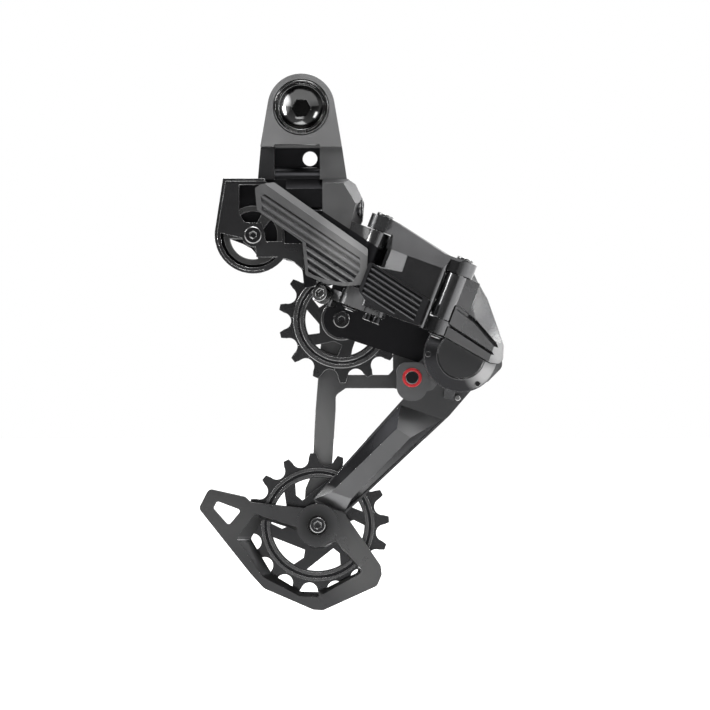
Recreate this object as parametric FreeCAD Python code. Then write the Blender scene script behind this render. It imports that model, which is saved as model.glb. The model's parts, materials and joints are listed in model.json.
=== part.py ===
"""Rear bicycle derailleur that clamps straight on the dropout, with a clutched two-pulley cage.

Millimetres. X points forward, Y inboard (towards the wheel), Z up. The origin is on the thru-axle's
axis, at the middle of the dropout slot. The linkage has a frame of its own, turned about Y: its
U axis runs along the linkage and its A axis is parallel to the four linkage pins.
"""
import FreeCAD, Part
import math
import os
from FreeCAD import Vector

# ---- fits ----
RUN = 0.05            # radial clearance of a shaft that turns in a hole
SEAT = 0.02           # radial clearance of a pin or bush that is held
BOLT = 0.15           # radial clearance of a screw in a plain hole

# ---- clevis round the dropout ----
SLOT = 12.5           # width of the dropout slot
EAR_OUT = 8.0         # thickness of the outboard ear
EAR_IN = 5.0          # thickness of the inboard ear
EAR_R = 16.3          # radius of both ears round the axle
EAR_FOOT = -19.0      # height where the ears meet the waist
WAIST_HALF = 19.8     # half width of the waist at its top
WAIST_FOOT = -34.6    # height of the ledge under the waist
WAIST_FRONT = -9.0    # outboard face of the waist
AXLE_THREAD_R = 5.5   # thread of the thru-axle in the mount bolt
MOUNT_SHANK_R = 8.0
MOUNT_HEAD_R = 13.2
MOUNT_DISH_R = 10.8    # rim of the polished dish in the bolt's head
MOUNT_DISH_BALL = 13.0 # radius of the ball that shapes the dish
MOUNT_KEY = 8.4       # across the flats of its key hole
MOUNT_WALL = 1.5      # between the key hole and the thread
THREAD_END = -5.0     # outboard end of the thread, in Y
MOUNT_WALL = 1.5      # wall of the mount bushing
WASHER_T = 1.0

# ---- body of the upper knuckle ----
BODY_FRONT = -13.8    # outboard face of the body
BODY_U = 47.0         # the body stops here along the linkage
BODY_FOOT_A = -71.5   # and here along the pins
SKID_T = 3.0          # fluted plate on the upper knuckle
SKID_BACK = -19.0
RIB_DEPTH = 1.3
RIB_PITCH = 3.25
RIB_SLOPE = 33.5      # degrees below level
SKID_SCREW_R = 1.5
SKID_SCREWS = [(4.0, -57.0), (17.0, -76.0)]

# ---- cable ----
ROLLER_X, ROLLER_Z = -23.2, -62.0
ROLLER_R = 14.4
GROOVE_R = 12.6       # radius of the cable round the roller
ROLLER_Y0, ROLLER_Y1 = -12.4, -5.2
ROLLER_BUSH_R = 3.5
ROLLER_BOLT_R = 2.0
GUARD_R = 18.6
GUARD_T = 1.8
BRACKET_Y0, BRACKET_Y1 = -3.9, 2.5
BACKING_Y0, BACKING_Y1 = -3.6, -1.4     # thin plate behind the roller
BACKING_IN = 0.8      # it stops this far inside the guard's outline
CRESCENT = [(-13.0, -1.0), (-5.3, -3.9), (-1.0, -6.2), (1.9, -9.8), (2.2, -14.0), (-14.0, -14.0)]
STOP_R = 4.2          # cable housing stop
STOP_COLLAR_R, STOP_COLLAR_T = 5.2, 1.4
STOP_BORE_R = 2.6
STOP_X0, STOP_X1 = 19.0, 28.6
STOP_DEPTH = 8.0
CABLE_HOLE_R = 1.1

# ---- linkage ----
TILT = 21.0           # degrees between the pins and the vertical
LINK_LENGTH = 49.0
LINK_REST = -28.0     # degrees between the links and the U axis at rest
B_OUTER = (57.0, -12.0)
B_INNER = (55.0, 5.0)
PIN_R = 2.5
BUSH_WALL = 1.0
EAR_LINK_R = 6.5
BARREL_R = 6.2
INNER_EAR_R = 6.0
INNER_BARREL_R = 5.8
EAR_GAP = 0.5         # gap between an ear and its barrel, along the pin
SPRING_WIRE_R = 0.65
SPRING_PITCH = 1.6
SPRING_TURNS = 4
SPRING_GAP = 0.3
SPRING_CLEAR = 0.35   # round the spring: to the pin inside it, and to the barrel's bore
LINK_TOP_B, LINK_TOP_P = -35.3, -42.0
EAR_T = 7.0           # thickness of the outer link's ears
LINK_BOTTOM = -79.0
ANCHOR_BOTTOM = -81.5
LINK_S0, LINK_S1 = 9.0, 45.0
LINK_T0, LINK_T1 = -9.0, 3.0
LINK_WALL = 3.0
INNER_TOP, INNER_BOTTOM = -44.0, -70.0
INNER_EAR_T = 6.0
ANCHOR_S = -14.0
LIMIT_S = (12.5, 17.6)
LIMIT_T = -3.0
LIMIT_R = 1.5

# ---- lower knuckle ----
CAGE_X, CAGE_Z = 77.1, -120.2
BARREL_OUT_R = 17.8
BARREL_IN_R = 15.2
BARREL_Y0, BARREL_Y1 = -24.0, 11.5
BACK_WALL = 4.0
HOOD_FRONT = -41.0
HOOD_BACK = -12.0
COVER_T = 4.8
COVER_FLAT_R = 11.8   # flat middle of the clutch cover, inside its cone
AXLE_R = 6.0
CAGE_BUSH_R = 8.5
LOCK_X, LOCK_Z = 53.9, -131.0
LOCK_PIN_R = 1.8
LOCK_HEAD_R = 4.7
LOCK_CORE_R = 3.2
LOCK_RING_T = 1.8
BOSS_Y0 = -4.0

# ---- cage ----
PLATE_Y0, PLATE_Y1 = 12.1, 15.5      # outer plate
CHAIN_GAP = 9.0
INNER_PLATE_T = 2.0
CAGE_FORM_Y = 6.4     # outboard face of the ridge on the lower arm
FRAME_Y = 9.6         # outboard face of the lower frame
LOWER_RECESS_R = 4.9  # recess round the head of the lower pulley's bolt
LOWER_RECESS = 1.6
UPPER_X, UPPER_Z = 19.5, -102.7
LOWER_X, LOWER_Z = 7.8, -203.4
STANDOFF_X, STANDOFF_Z = 60.8, -134.9
STANDOFF_R = 3.6
STANDOFF_SCREW_R = 1.5
STANDOFF_HEAD_R = 2.6
STANDOFF_HEAD_T = 1.8
STOP_PIN_R = 1.4
STOP_PIN_REACH = 20.8  # from the cage's pivot
STOP_PIN_AT = 268.0   # degrees round the cage's pivot
PULLEY_BOLT_R = 2.5

# ---- pulleys ----
CHAIN_PITCH = 12.7
ROLLER_SEAT_R = 4.05
UPPER_TEETH, LOWER_TEETH = 14, 16
TOOTH_ABOVE = 2.6     # tooth tip above the pitch circle
TOOTH_TIP_HALF = 1.45
SEAT_DEPTH = 3.6      # floor of a roller's seat below the pitch circle
NARROW_HALF, WIDE_HALF = 0.95, 1.9
RIM_HALF = 3.4
WEB_HALF = 2.2
HUB_HALF = 3.6
HUB_R = 10.0
RIM_GROOVE = 1.5      # groove between the two lands of the rim
RIM_GROOVE_T = 0.9    # its depth
WINDOWS = 6
UPPER_RIM_IN, LOWER_RIM_IN = 18.6, 23.6
UPPER_WINDOW = [(17.8, 164.0), (17.8, 204.0), (12.6, 211.0), (11.2, 191.0)]
LOWER_WINDOW = [(22.9, 196.0), (22.9, 239.0), (17.8, 247.0), (14.0, 243.0)]
BEARING_R = 7.0
RACE_WALL = 1.5
BALL_R = 1.2
BALL_COUNT = 8
SLEEVE_R = 3.7
SHIELD_T = 0.4

PLATE_IN_Y0 = PLATE_Y1 + CHAIN_GAP
PLATE_IN_Y1 = PLATE_IN_Y0 + INNER_PLATE_T
PULLEY_Y = (PLATE_Y1 + PLATE_IN_Y0) / 2
SLOT_HALF = SLOT / 2
EAR_OUT_Y0 = -SLOT_HALF - EAR_OUT
EAR_IN_Y1 = SLOT_HALF + EAR_IN
ACROSS = 400.0        # longer than the whole object


# ---------------------------------------------------------------- shapes
def block(x0, x1, y0, y1, z0, z1):
    return Part.makeBox(x1 - x0, y1 - y0, z1 - z0, Vector(x0, y0, z0))


def disc(x, z, r, y0, y1):
    """A round bar along Y."""
    return Part.makeCylinder(r, y1 - y0, Vector(x, y0, z), Vector(0, 1, 0))


def ring(x, z, r_out, r_in, y0, y1):
    return disc(x, z, r_out, y0, y1).cut(disc(x, z, r_in, y0 - 1, y1 + 1))


def post(u, y, r, a0, a1):
    """A round bar along A, in the linkage frame."""
    return Part.makeCylinder(r, a1 - a0, Vector(u, y, a0), Vector(0, 0, 1))


def tube(u, y, r_out, r_in, a0, a1):
    return post(u, y, r_out, a0, a1).cut(post(u, y, r_in, a0 - 1, a1 + 1))


def outline(points, flat):
    """Closed wire through points; a third number rounds that corner. flat turns (p, q) into a Vector."""
    ends = []
    for i, point in enumerate(points):
        here = flat(point[0], point[1])
        if len(point) < 3:
            ends.append((here, None, here))
            continue
        before = points[i - 1]
        after = points[(i + 1) % len(points)]
        back = (flat(before[0], before[1]) - here).normalize()
        on = (flat(after[0], after[1]) - here).normalize()
        half = back.getAngle(on) / 2
        reach = point[2] / math.tan(half)
        middle = here + (back + on).normalize() * (point[2] / math.sin(half) - point[2])
        ends.append((here + back * reach, middle, here + on * reach))
    edges = []
    for i, (start, middle, end) in enumerate(ends):
        if middle is not None:
            edges.append(Part.Arc(start, middle, end).toShape())
        following = ends[(i + 1) % len(ends)][0]
        if end.distanceToPoint(following) > 1e-6:
            edges.append(Part.LineSegment(end, following).toShape())
    return Part.Wire(edges)


def upright(points, y):
    """Closed wire in a plane across Y."""
    return outline(points, lambda x, z: Vector(x, y, z))


def plate(points, y0, y1):
    """An outline in X and Z, pulled along Y."""
    return Part.Face(upright(points, y0)).extrude(Vector(0, y1 - y0, 0))


def slab(points, a0, a1):
    """An outline in U and Y, pulled along A."""
    wire = outline(points, lambda u, y: Vector(u, y, a0))
    return Part.Face(wire).extrude(Vector(0, 0, a1 - a0))


def tapered(points_0, y0, points_1, y1):
    """A solid between two outlines of as many points."""
    return Part.makeLoft([upright(points_0, y0), upright(points_1, y1)], True, True)


def joined(shapes):
    return shapes[0].multiFuse(shapes[1:]).removeSplitter()


def tilted(shape):
    """From the linkage frame (U, Y, A) to the part's own frame."""
    result = shape.copy()
    result.rotate(Vector(0, 0, 0), Vector(0, 1, 0), TILT)
    return result


def on_link(shape, pivot):
    """From a link's own frame (along, across, A) to the part's own frame, at rest."""
    result = shape.copy()
    result.rotate(Vector(0, 0, 0), Vector(0, 0, 1), LINK_REST)
    result.translate(Vector(pivot[0], pivot[1], 0))
    return tilted(result)


def link_end(pivot, length):
    """Where a link's far pivot is in U and Y at rest."""
    turn = math.radians(LINK_REST)
    return (pivot[0] + length * math.cos(turn), pivot[1] + length * math.sin(turn))


P_OUTER = link_end(B_OUTER, LINK_LENGTH)
P_INNER = link_end(B_INNER, LINK_LENGTH)
# The pieces that hang on the links are drawn for links of one length, and moved with the real one.
LOWER_DRAWN = 49.0
P_OUTER_DRAWN = link_end(B_OUTER, LOWER_DRAWN)
P_INNER_DRAWN = link_end(B_INNER, LOWER_DRAWN)


def lower_move():
    """From where the lower pieces are drawn to where the links hold them."""
    run = Vector(P_OUTER[0] - P_OUTER_DRAWN[0], P_OUTER[1] - P_OUTER_DRAWN[1], 0)
    return FreeCAD.Rotation(Vector(0, 1, 0), TILT).multVec(run)


def polar(x, z, r, degrees):
    turn = math.radians(degrees)
    return (x + r * math.cos(turn), z + r * math.sin(turn))


def tangent(px, pz, r, side):
    """Where a line from a point touches a circle round the origin."""
    away = math.degrees(math.acos(r / math.hypot(px, pz)))
    return polar(0, 0, r, math.degrees(math.atan2(pz, px)) + side * away)


def vee(start, end, width, depth, y_face):
    """A V groove along a line in a face that looks outboard."""
    run = Vector(end[0] - start[0], 0, end[1] - start[1])
    side = Vector(-run.z, 0, run.x).normalize() * (width / 2)
    at = Vector(start[0], y_face, start[1])
    over = Vector(0, -0.5, 0)
    corners = [at + side, at + side + over, at - side + over, at - side, at + Vector(0, depth, 0)]
    return Part.Face(Part.makePolygon(corners + [corners[0]])).extrude(run)


def beyond(a, b, c):
    """Everything outboard of the plane through three points."""
    a, b, c = Vector(*a), Vector(*b), Vector(*c)
    normal = (b - a).cross(c - a).normalize()
    if normal.y > 0:
        normal = -normal
    box = Part.makeBox(ACROSS, ACROSS, ACROSS, Vector(-ACROSS / 2, -ACROSS / 2, 0))
    box.Placement = FreeCAD.Placement(a, FreeCAD.Rotation(Vector(0, 0, 1), normal))
    return box


def bevelled(start, end, wide, drop, y_face):
    """What a bevel takes off a face that looks outboard, to the left of a line on it."""
    run = Vector(end[0] - start[0], 0, end[1] - start[1]).normalize()
    out = Vector(-run.z, 0, run.x) * wide
    return beyond((start[0], y_face, start[1]), (end[0], y_face, end[1]),
                  (start[0] + out.x, y_face + drop, start[1] + out.z))


def hexagon(x, z, across, y0, y1, first=30):
    corner = across / math.sqrt(3)
    points = [polar(x, z, corner, 60 * i + first) for i in range(6)]
    return plate(points, y0, y1)


def coil(radius, wire_r, pitch, height):
    """A closed spring of round wire along Z, from Z 0."""
    path = Part.makeHelix(pitch, height, radius)
    section = Part.Wire([Part.makeCircle(wire_r, Vector(radius, 0, 0), Vector(0, 1, 0))])
    return Part.Wire(path).makePipeShell([section], True, True)


def along_y(shape, x, y, z):
    """Turns a shape built along Z to stand along Y, and moves it."""
    result = shape.copy()
    result.rotate(Vector(0, 0, 0), Vector(1, 0, 0), -90)
    result.translate(Vector(x, y, z))
    return result


# ---------------------------------------------------------------- upper knuckle
def clevis_ear(y0, y1, foot):
    left = tangent(-WAIST_HALF, EAR_FOOT, EAR_R, -1)
    right = tangent(WAIST_HALF, EAR_FOOT, EAR_R, 1)
    web = plate([left, right, (WAIST_HALF, foot), (-WAIST_HALF, foot)], y0, y1)
    return disc(0, 0, EAR_R, y0, y1).fuse(web)


def waist():
    foot_left, foot_right = -21.2, 22.2
    over = EAR_FOOT + 0.2
    shape = plate([(-WAIST_HALF, over), (WAIST_HALF, over), (foot_right, WAIST_FOOT),
                   (foot_left, WAIST_FOOT)], WAIST_FRONT, EAR_IN_Y1)
    back_wall = 6.0
    window = block(-13, 9, -ACROSS, EAR_IN_Y1 - back_wall, WAIST_FOOT, EAR_FOOT + 1)
    return shape, window


def body_outline():
    foot_u = 36.0
    turn = math.radians(TILT)
    corner = (BODY_U * math.cos(turn) + BODY_FOOT_A * math.sin(turn),
              BODY_FOOT_A * math.cos(turn) - BODY_U * math.sin(turn))
    step = (foot_u * math.cos(turn) + BODY_FOOT_A * math.sin(turn),
            BODY_FOOT_A * math.cos(turn) - foot_u * math.sin(turn))
    return [(-7.5, WAIST_FOOT), (22.7, WAIST_FOOT, 1.0), (26.5, -37.3, 2.5), (30.6, -46.0, 4.0),
            (30.0, -54.5, 3.0), (26.6, -62.0, 3.0), corner, step, (7.0, -86.5, 1.0),
            (1.5, -87.5, 1.0), (0.6, -78.5, 4.0), (-4.0, -74.6, 3.0), (-7.5, -73.9)]


BODY_FLANKS = [((8.0, WAIST_FOOT - 2.0), (20.4, WAIST_FOOT - 2.0), 2.0),
               ((20.4, WAIST_FOOT - 2.0), (26.4, -46.5), 4.2),
               ((26.4, -46.5), (22.6, -63.0), 4.2)]
BODY_FLANK_DROP = 3.2   # how far the bevels of the body fall back


def roller_bracket():
    """Arm behind the cable roller."""
    arm = plate([(-21.2, WAIST_FOOT), (-7, WAIST_FOOT), (-7, -73.5), (-21.5, -72.6, 1.0),
                 (-21.5, -66), (-28.5, -61.0), (-28.5, -48.0, 4.0), (-23.0, -44.0)],
                BRACKET_Y0, BRACKET_Y1)
    backing = guard_face(BACKING_IN, BACKING_Y0, BACKING_Y1)
    crescent = plate([(ROLLER_X + x, ROLLER_Z + z) for x, z in CRESCENT], -ACROSS, BACKING_Y1 + 0.5)
    arm = arm.cut(crescent.common(disc(ROLLER_X, ROLLER_Z, ROLLER_R - 2.8, -ACROSS, ACROSS)))
    backing = backing.cut(crescent.common(disc(ROLLER_X, ROLLER_Z, ROLLER_R - 2.8, -ACROSS, ACROSS)))
    return arm.fuse(disc(ROLLER_X, ROLLER_Z, 6.0, BRACKET_Y0, BRACKET_Y1)).fuse(backing)


def spring_foot():
    """Where the return spring's centre line starts, on the outboard upper pin."""
    return LINK_TOP_B - EAR_T - EAR_GAP - SPRING_WIRE_R - SPRING_PITCH * SPRING_TURNS


def b_barrels():
    """Barrels of the two upper pins and the necks that carry them."""
    outer_u, outer_y = B_OUTER
    inner_u, inner_y = B_INNER
    outer_top = LINK_TOP_B - EAR_T - EAR_GAP
    inner_top = INNER_TOP - INNER_EAR_T - EAR_GAP
    inner_foot = INNER_BOTTOM + INNER_EAR_T + EAR_GAP
    neck = 4.8
    return [
        tilted(post(outer_u, outer_y, BARREL_R, BODY_FOOT_A, outer_top)),
        tilted(slab([(BODY_U - 4, outer_y - neck), (outer_u, outer_y - neck),
                     (outer_u, outer_y + neck), (BODY_U - 4, outer_y + neck)], BODY_FOOT_A, outer_top)),
        tilted(post(inner_u, inner_y, INNER_BARREL_R, inner_foot, inner_top)),
        tilted(slab([(BODY_U - 4, inner_y - neck), (inner_u, inner_y - neck),
                     (inner_u, inner_y + neck), (BODY_U - 4, inner_y + neck)], inner_foot, inner_top)),
    ]


def b_knuckle():
    waist_shape, window = waist()
    ears = [clevis_ear(EAR_OUT_Y0, -SLOT_HALF, EAR_FOOT),
            clevis_ear(WAIST_FRONT, -SLOT_HALF, EAR_FOOT - 4),
            clevis_ear(SLOT_HALF, EAR_IN_Y1, EAR_FOOT - 4)]
    body = plate(body_outline(), BODY_FRONT, EAR_IN_Y1)
    for start, end, wide in BODY_FLANKS:
        body = body.cut(bevelled(start, end, wide, BODY_FLANK_DROP, BODY_FRONT))
    shape = joined(ears + [waist_shape, body, roller_bracket()] + b_barrels())
    bosses = [disc(x, z, 3.4, SKID_BACK, BODY_FRONT + 1) for x, z in SKID_SCREWS]
    shape = shape.cut(window)
    saddle = Part.makeCylinder(5.0, 22, Vector(-13, 1.0, -33.5), Vector(1, 0, 0))
    saddle = saddle.common(block(-13, 9, -8, 6, WAIST_FOOT - 0.5, -20))
    shape = joined([shape, saddle] + bosses)
    recess = block(-ACROSS, 10.3, -ACROSS, WAIST_FRONT, -52.0, WAIST_FOOT + 0.01)
    shape = shape.cut(recess)
    flank = slab([(-30, WAIST_FRONT - 1), (-13.0, WAIST_FRONT - 1), (-13.0, WAIST_FRONT), (-21.5, -4.2),
                  (-30, -4.2)], WAIST_FOOT, EAR_FOOT)
    lip = plate([(-13, WAIST_FOOT - 4.6), (10.3, WAIST_FOOT - 4.6), (10.3, WAIST_FOOT), (-13, WAIST_FOOT)],
                WAIST_FRONT - 5, WAIST_FRONT + 5)
    lip = lip.common(beyond((-13, WAIST_FRONT, WAIST_FOOT - 4.6), (10.3, WAIST_FRONT, WAIST_FOOT - 4.6),
                            (-13, WAIST_FRONT + 3.4, WAIST_FOOT)))
    shape = shape.cut(flank).cut(lip)
    rear_pocket = plate([(-1, -40, 3), (18, -40, 3), (18, -62, 3), (-1, -62, 3)], 4.5, EAR_IN_Y1 + 1)
    holes = [rear_pocket,
             disc(4.1, -24.0, 3.6, 0, EAR_IN_Y1 + 1),
             disc(0, 0, MOUNT_HEAD_R + 0.5, EAR_OUT_Y0 - 1, EAR_OUT_Y0 + 4.5),
             disc(0, 0, MOUNT_SHANK_R + SEAT, EAR_OUT_Y0, -SLOT_HALF + 1),
             disc(0, 0, MOUNT_SHANK_R + MOUNT_WALL + SEAT, SLOT_HALF - 1, EAR_IN_Y1 + 1),
             disc(ROLLER_X, ROLLER_Z, ROLLER_BOLT_R + SEAT, BRACKET_Y0 - 1, BRACKET_Y1 + 1)]
    stop_axis = Vector(1, 0, 0)
    cable_y = (ROLLER_Y0 + ROLLER_Y1) / 2
    cable_z = ROLLER_Z + GROOVE_R
    holes.append(Part.makeCylinder(STOP_R + SEAT, 40, Vector(STOP_X0, cable_y, cable_z), stop_axis))
    holes.append(Part.makeCylinder(STOP_COLLAR_R + SEAT, 40, Vector(STOP_X1, cable_y, cable_z), stop_axis))
    holes.append(Part.makeCylinder(CABLE_HOLE_R, 60, Vector(-20, cable_y, cable_z), stop_axis))
    for x, z in SKID_SCREWS:
        holes.append(disc(x, z, SKID_SCREW_R + BOLT, SKID_BACK - 1, EAR_IN_Y1 + 1))
        holes.append(disc(x, z, 2 * SKID_SCREW_R + BOLT, EAR_IN_Y1 - 3, EAR_IN_Y1 + 1))
    for u, y in (B_OUTER, B_INNER):
        holes.append(tilted(post(u, y, PIN_R + SEAT, -95, -25)))
    holes.append(tilted(post(B_OUTER[0], B_OUTER[1], PIN_R + 2 * (SPRING_WIRE_R + SPRING_CLEAR),
                             spring_foot() - SPRING_WIRE_R - SPRING_GAP, LINK_TOP_B - EAR_T)))
    for hole in holes:
        shape = shape.cut(hole)
    return shape.removeSplitter()


def revolved(profile, x, z):
    """A profile of (radius, y) points turned about an axis along Y."""
    points = [Vector(x + r, y, z) for r, y in profile]
    face = Part.Face(Part.makePolygon(points + [points[0]]))
    return face.revolve(Vector(x, 0, z), Vector(0, 1, 0), 360)


def mount_bolt():
    seat_y = EAR_OUT_Y0 + 4.5 - WASHER_T
    face_y = EAR_OUT_Y0 - 0.5
    groove_out, groove_in = MOUNT_HEAD_R - 0.8, MOUNT_DISH_R + 0.8
    head = revolved([(0, face_y), (groove_in, face_y), (groove_in, face_y + 0.9), (groove_out, face_y + 0.9),
                     (groove_out, face_y), (MOUNT_HEAD_R - 0.3, face_y), (MOUNT_HEAD_R, face_y + 0.3),
                     (MOUNT_HEAD_R, seat_y), (0, seat_y)], 0, 0)
    shape = head.fuse(disc(0, 0, MOUNT_SHANK_R, seat_y - 0.5, EAR_IN_Y1))
    ball_y = face_y - math.sqrt(MOUNT_DISH_BALL ** 2 - MOUNT_DISH_R ** 2)
    shape = shape.cut(Part.makeSphere(MOUNT_DISH_BALL, Vector(0, ball_y, 0)))
    shape = shape.cut(hexagon(0, 0, MOUNT_KEY, face_y - 1, THREAD_END - MOUNT_WALL, 0))
    return shape.cut(disc(0, 0, AXLE_THREAD_R, THREAD_END, ACROSS)).removeSplitter()


def mount_washer():
    seat_y = EAR_OUT_Y0 + 4.5
    return ring(0, 0, MOUNT_HEAD_R, MOUNT_SHANK_R + BOLT, seat_y - WASHER_T, seat_y)


def mount_bushing():
    return ring(0, 0, MOUNT_SHANK_R + MOUNT_WALL, MOUNT_SHANK_R + SEAT, SLOT_HALF, EAR_IN_Y1)


FLUTE_FIELD = [(-19.4, -43.2), (-17.4, -42.4), (28.4, -73.2), (28.4, -84.2), (21.2, -85.2), (12.3, -83.8),
               (3.6, -80.4), (2.4, -65.8), (-18.8, -51.2)]
FLUTE_START = (-18.6, -41.6)
FLUTES = 10
FLUTE_REACH = 60.0    # past the far end of the field
FLUTE_SHARE = 0.86    # how much of the pitch a flute is wide
SKID_BEVEL = 3.4
SKID_TOP_EDGE = ((-15.6, -38.6), (31.6, -72.0))


def skid_outline():
    return [(-22.2, -39.5, 0.8), (-19.3, -37.6, 0.8), (-12.9, -36.6, 1.5), (32.4, -68.8, 1.5),
            (31.5, -85.9, 1.5), (21.2, -86.8, 1.5), (11.5, -85.4, 1.5), (2.2, -81.5, 1.5),
            (0.7, -65.4, 1.0), (-21.2, -50.2, 1.5)]


def b_skid_plate():
    front = SKID_BACK - SKID_T
    shape = plate(skid_outline(), front, SKID_BACK)
    field = plate(FLUTE_FIELD, front - 1, front + RIB_DEPTH + 0.1)
    turn = math.radians(RIB_SLOPE)
    start_x, start_z = FLUTE_START
    for i in range(FLUTES):
        x, z = start_x - i * RIB_PITCH * math.sin(turn), start_z - i * RIB_PITCH * math.cos(turn)
        end = (x + FLUTE_REACH * math.cos(turn), z - FLUTE_REACH * math.sin(turn))
        groove = vee((x, z), end, FLUTE_SHARE * RIB_PITCH, RIB_DEPTH, front)
        shape = shape.cut(groove.common(field))
    shape = shape.cut(bevelled(SKID_TOP_EDGE[0], SKID_TOP_EDGE[1], SKID_BEVEL, SKID_BEVEL / 2, front))
    for x, z in SKID_SCREWS:
        shape = shape.cut(disc(x, z, SKID_SCREW_R + SEAT, SKID_BACK - 2, SKID_BACK + 1))
    return shape


def skid_plate_screws():
    screws = []
    for x, z in SKID_SCREWS:
        head_y = EAR_IN_Y1 - 0.4
        screw = disc(x, z, SKID_SCREW_R, SKID_BACK - 1.8, head_y - 1).fuse(
            disc(x, z, 2 * SKID_SCREW_R, EAR_IN_Y1 - 3, head_y))
        screws.append(screw.cut(hexagon(x, z, 2.5, head_y - 1.5, head_y + 1)))
    return Part.makeCompound(screws)


def guard_face(inset, y0, y1):
    """The D of the guard, with its rim moved in by inset."""
    top = WAIST_FOOT - inset
    left = -37.8 + inset
    r = GUARD_R - inset
    corner = (left - ROLLER_X, top - ROLLER_Z)
    touch = tangent(corner[0], corner[1], r, 1)
    wall = plate([(left, top), (-17.8, top), (-8.0, -50.0), (-8.0, ROLLER_Z), (ROLLER_X, ROLLER_Z),
                  (ROLLER_X + touch[0], ROLLER_Z + touch[1])], y0, y1)
    round_part = disc(ROLLER_X, ROLLER_Z, r, y0, y1)
    return wall.fuse(round_part.common(block(-60, -8.0, y0, y1, -90, ROLLER_Z + 6))).removeSplitter()


def cable_pulley_guard():
    face_y = BODY_FRONT - GUARD_T
    lip_y = face_y - 1.2
    shape = guard_face(0, face_y, BODY_FRONT)
    lower_web = plate([(-21.7, -66.0), (1.2, -66.0), (1.2, -78.6), (0.2, -78.0, 3.0), (-4.2, -74.4, 3.0),
                       (-9.0, -73.0)], face_y, BODY_FRONT)
    upper_open = plate([(-30, -37.6), (-19.0, -37.6), (-9.2, -49.0), (-9.2, -65.2), (-17.0, -65.2),
                        (-19, -56.3), (-27.5, -55.8, 2.0), (-30, -51.0, 2.0)], -ACROSS, 0)
    chord = plate([(-42, -60.3), (ROLLER_X, -64.4), (-21.7, -68.8), (-21.7, -72.6), (8, -72.6),
                   (8, -100), (-60, -100), (-60, -60.3)], -ACROSS, 0)
    lower_open = disc(ROLLER_X, ROLLER_Z, 15.8, -ACROSS, 0).common(chord)
    shape = shape.cut(upper_open).cut(lower_open).fuse(lower_web)
    shape = shape.fuse(disc(ROLLER_X, ROLLER_Z, 5.6, face_y, BODY_FRONT))
    lip = guard_face(0, lip_y, face_y + 0.5).cut(guard_face(1.3, lip_y - 1, face_y + 1))
    lip = lip.cut(block(-17.8, 10, -ACROSS, 0, -ACROSS, 0))
    wall = guard_face(0, face_y, BRACKET_Y0).cut(guard_face(1.7, face_y - 1, BRACKET_Y0 + 1))
    wall = wall.cut(block(-18.0, 10, -ACROSS, 10, -ACROSS, 0))
    hub = disc(ROLLER_X, ROLLER_Z, ROLLER_BOLT_R + BOLT, -ACROSS, 0)
    return joined([shape, lip, wall]).cut(hub).removeSplitter()


def cable_pulley():
    shape = disc(ROLLER_X, ROLLER_Z, ROLLER_R, ROLLER_Y0, ROLLER_Y1)
    middle = (ROLLER_Y0 + ROLLER_Y1) / 2
    groove = revolved([(GROOVE_R, middle - 0.6), (GROOVE_R, middle + 0.6), (ROLLER_R + 1, middle + 2.4),
                       (ROLLER_R + 1, middle - 2.4)], ROLLER_X, ROLLER_Z)
    shape = shape.cut(groove)
    window_in, window_out = 5.6, 11.6
    first, width = 188.0, 94.0
    for i in range(3):
        start = first + 120 * i
        corners = [(window_out, start), (window_out, start + width), (window_in, start + width - 10),
                   (window_in, start + width / 2), (window_in, start + 10)]
        shape = shape.cut(swirl_window(ROLLER_X, ROLLER_Z, corners, ROLLER_Y0 - 1, ROLLER_Y1 + 1))
    return shape.cut(disc(ROLLER_X, ROLLER_Z, ROLLER_BUSH_R + RUN, -ACROSS, ACROSS)).removeSplitter()


def cable_pulley_bush():
    return ring(ROLLER_X, ROLLER_Z, ROLLER_BUSH_R, ROLLER_BOLT_R + SEAT, BODY_FRONT, BRACKET_Y0)


def socket_bolt(x, z, r, head_r, head_t, y_seat, y_end, across):
    """A bolt along Y whose head sits outboard of y_seat."""
    shape = disc(x, z, r, y_seat - head_t / 2, y_end)
    rim = 0.18 * head_t
    head = revolved([(0, y_seat), (head_r, y_seat), (head_r, y_seat - head_t + rim),
                     (head_r - rim, y_seat - head_t), (0, y_seat - head_t)], x, z)
    return shape.fuse(head).cut(hexagon(x, z, across, y_seat - head_t - 1, y_seat - head_t / 3))


def cable_pulley_bolt():
    return socket_bolt(ROLLER_X, ROLLER_Z, ROLLER_BOLT_R, 4.4, 2.6, BODY_FRONT - GUARD_T,
                       BRACKET_Y1 + 0.5, 3.0)


def housing_stop():
    cable_y = (ROLLER_Y0 + ROLLER_Y1) / 2
    cable_z = ROLLER_Z + GROOVE_R
    start = Vector(STOP_X0, cable_y, cable_z)
    along = Vector(1, 0, 0)
    shape = Part.makeCylinder(STOP_R, STOP_X1 - STOP_X0, start, along)
    collar = Part.makeCylinder(STOP_COLLAR_R, STOP_COLLAR_T, Vector(STOP_X1, cable_y, cable_z), along)
    shape = shape.fuse(collar)
    shape = shape.cut(Part.makeCylinder(CABLE_HOLE_R, 40, start, along))
    mouth = Vector(STOP_X1 + STOP_COLLAR_T - STOP_DEPTH, cable_y, cable_z)
    return shape.cut(Part.makeCylinder(STOP_BORE_R, 40, mouth, along)).removeSplitter()


def linkage_pin(place, top, foot):
    """A linkage pin with a flat head at its top and a groove for its clip."""
    u, y = place
    head = post(u, y, PIN_R + 1.6, top + 0.1, top + 1.5)
    shape = post(u, y, PIN_R, foot - 2.2, top + 0.5).fuse(head)
    socket = post(u, y, 1.4, top - 1.0, top + 3)
    groove = tube(u, y, PIN_R + 1, PIN_R - 0.5, foot - 1.2, foot - 0.3)
    return tilted(shape.cut(socket).cut(groove))


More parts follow.
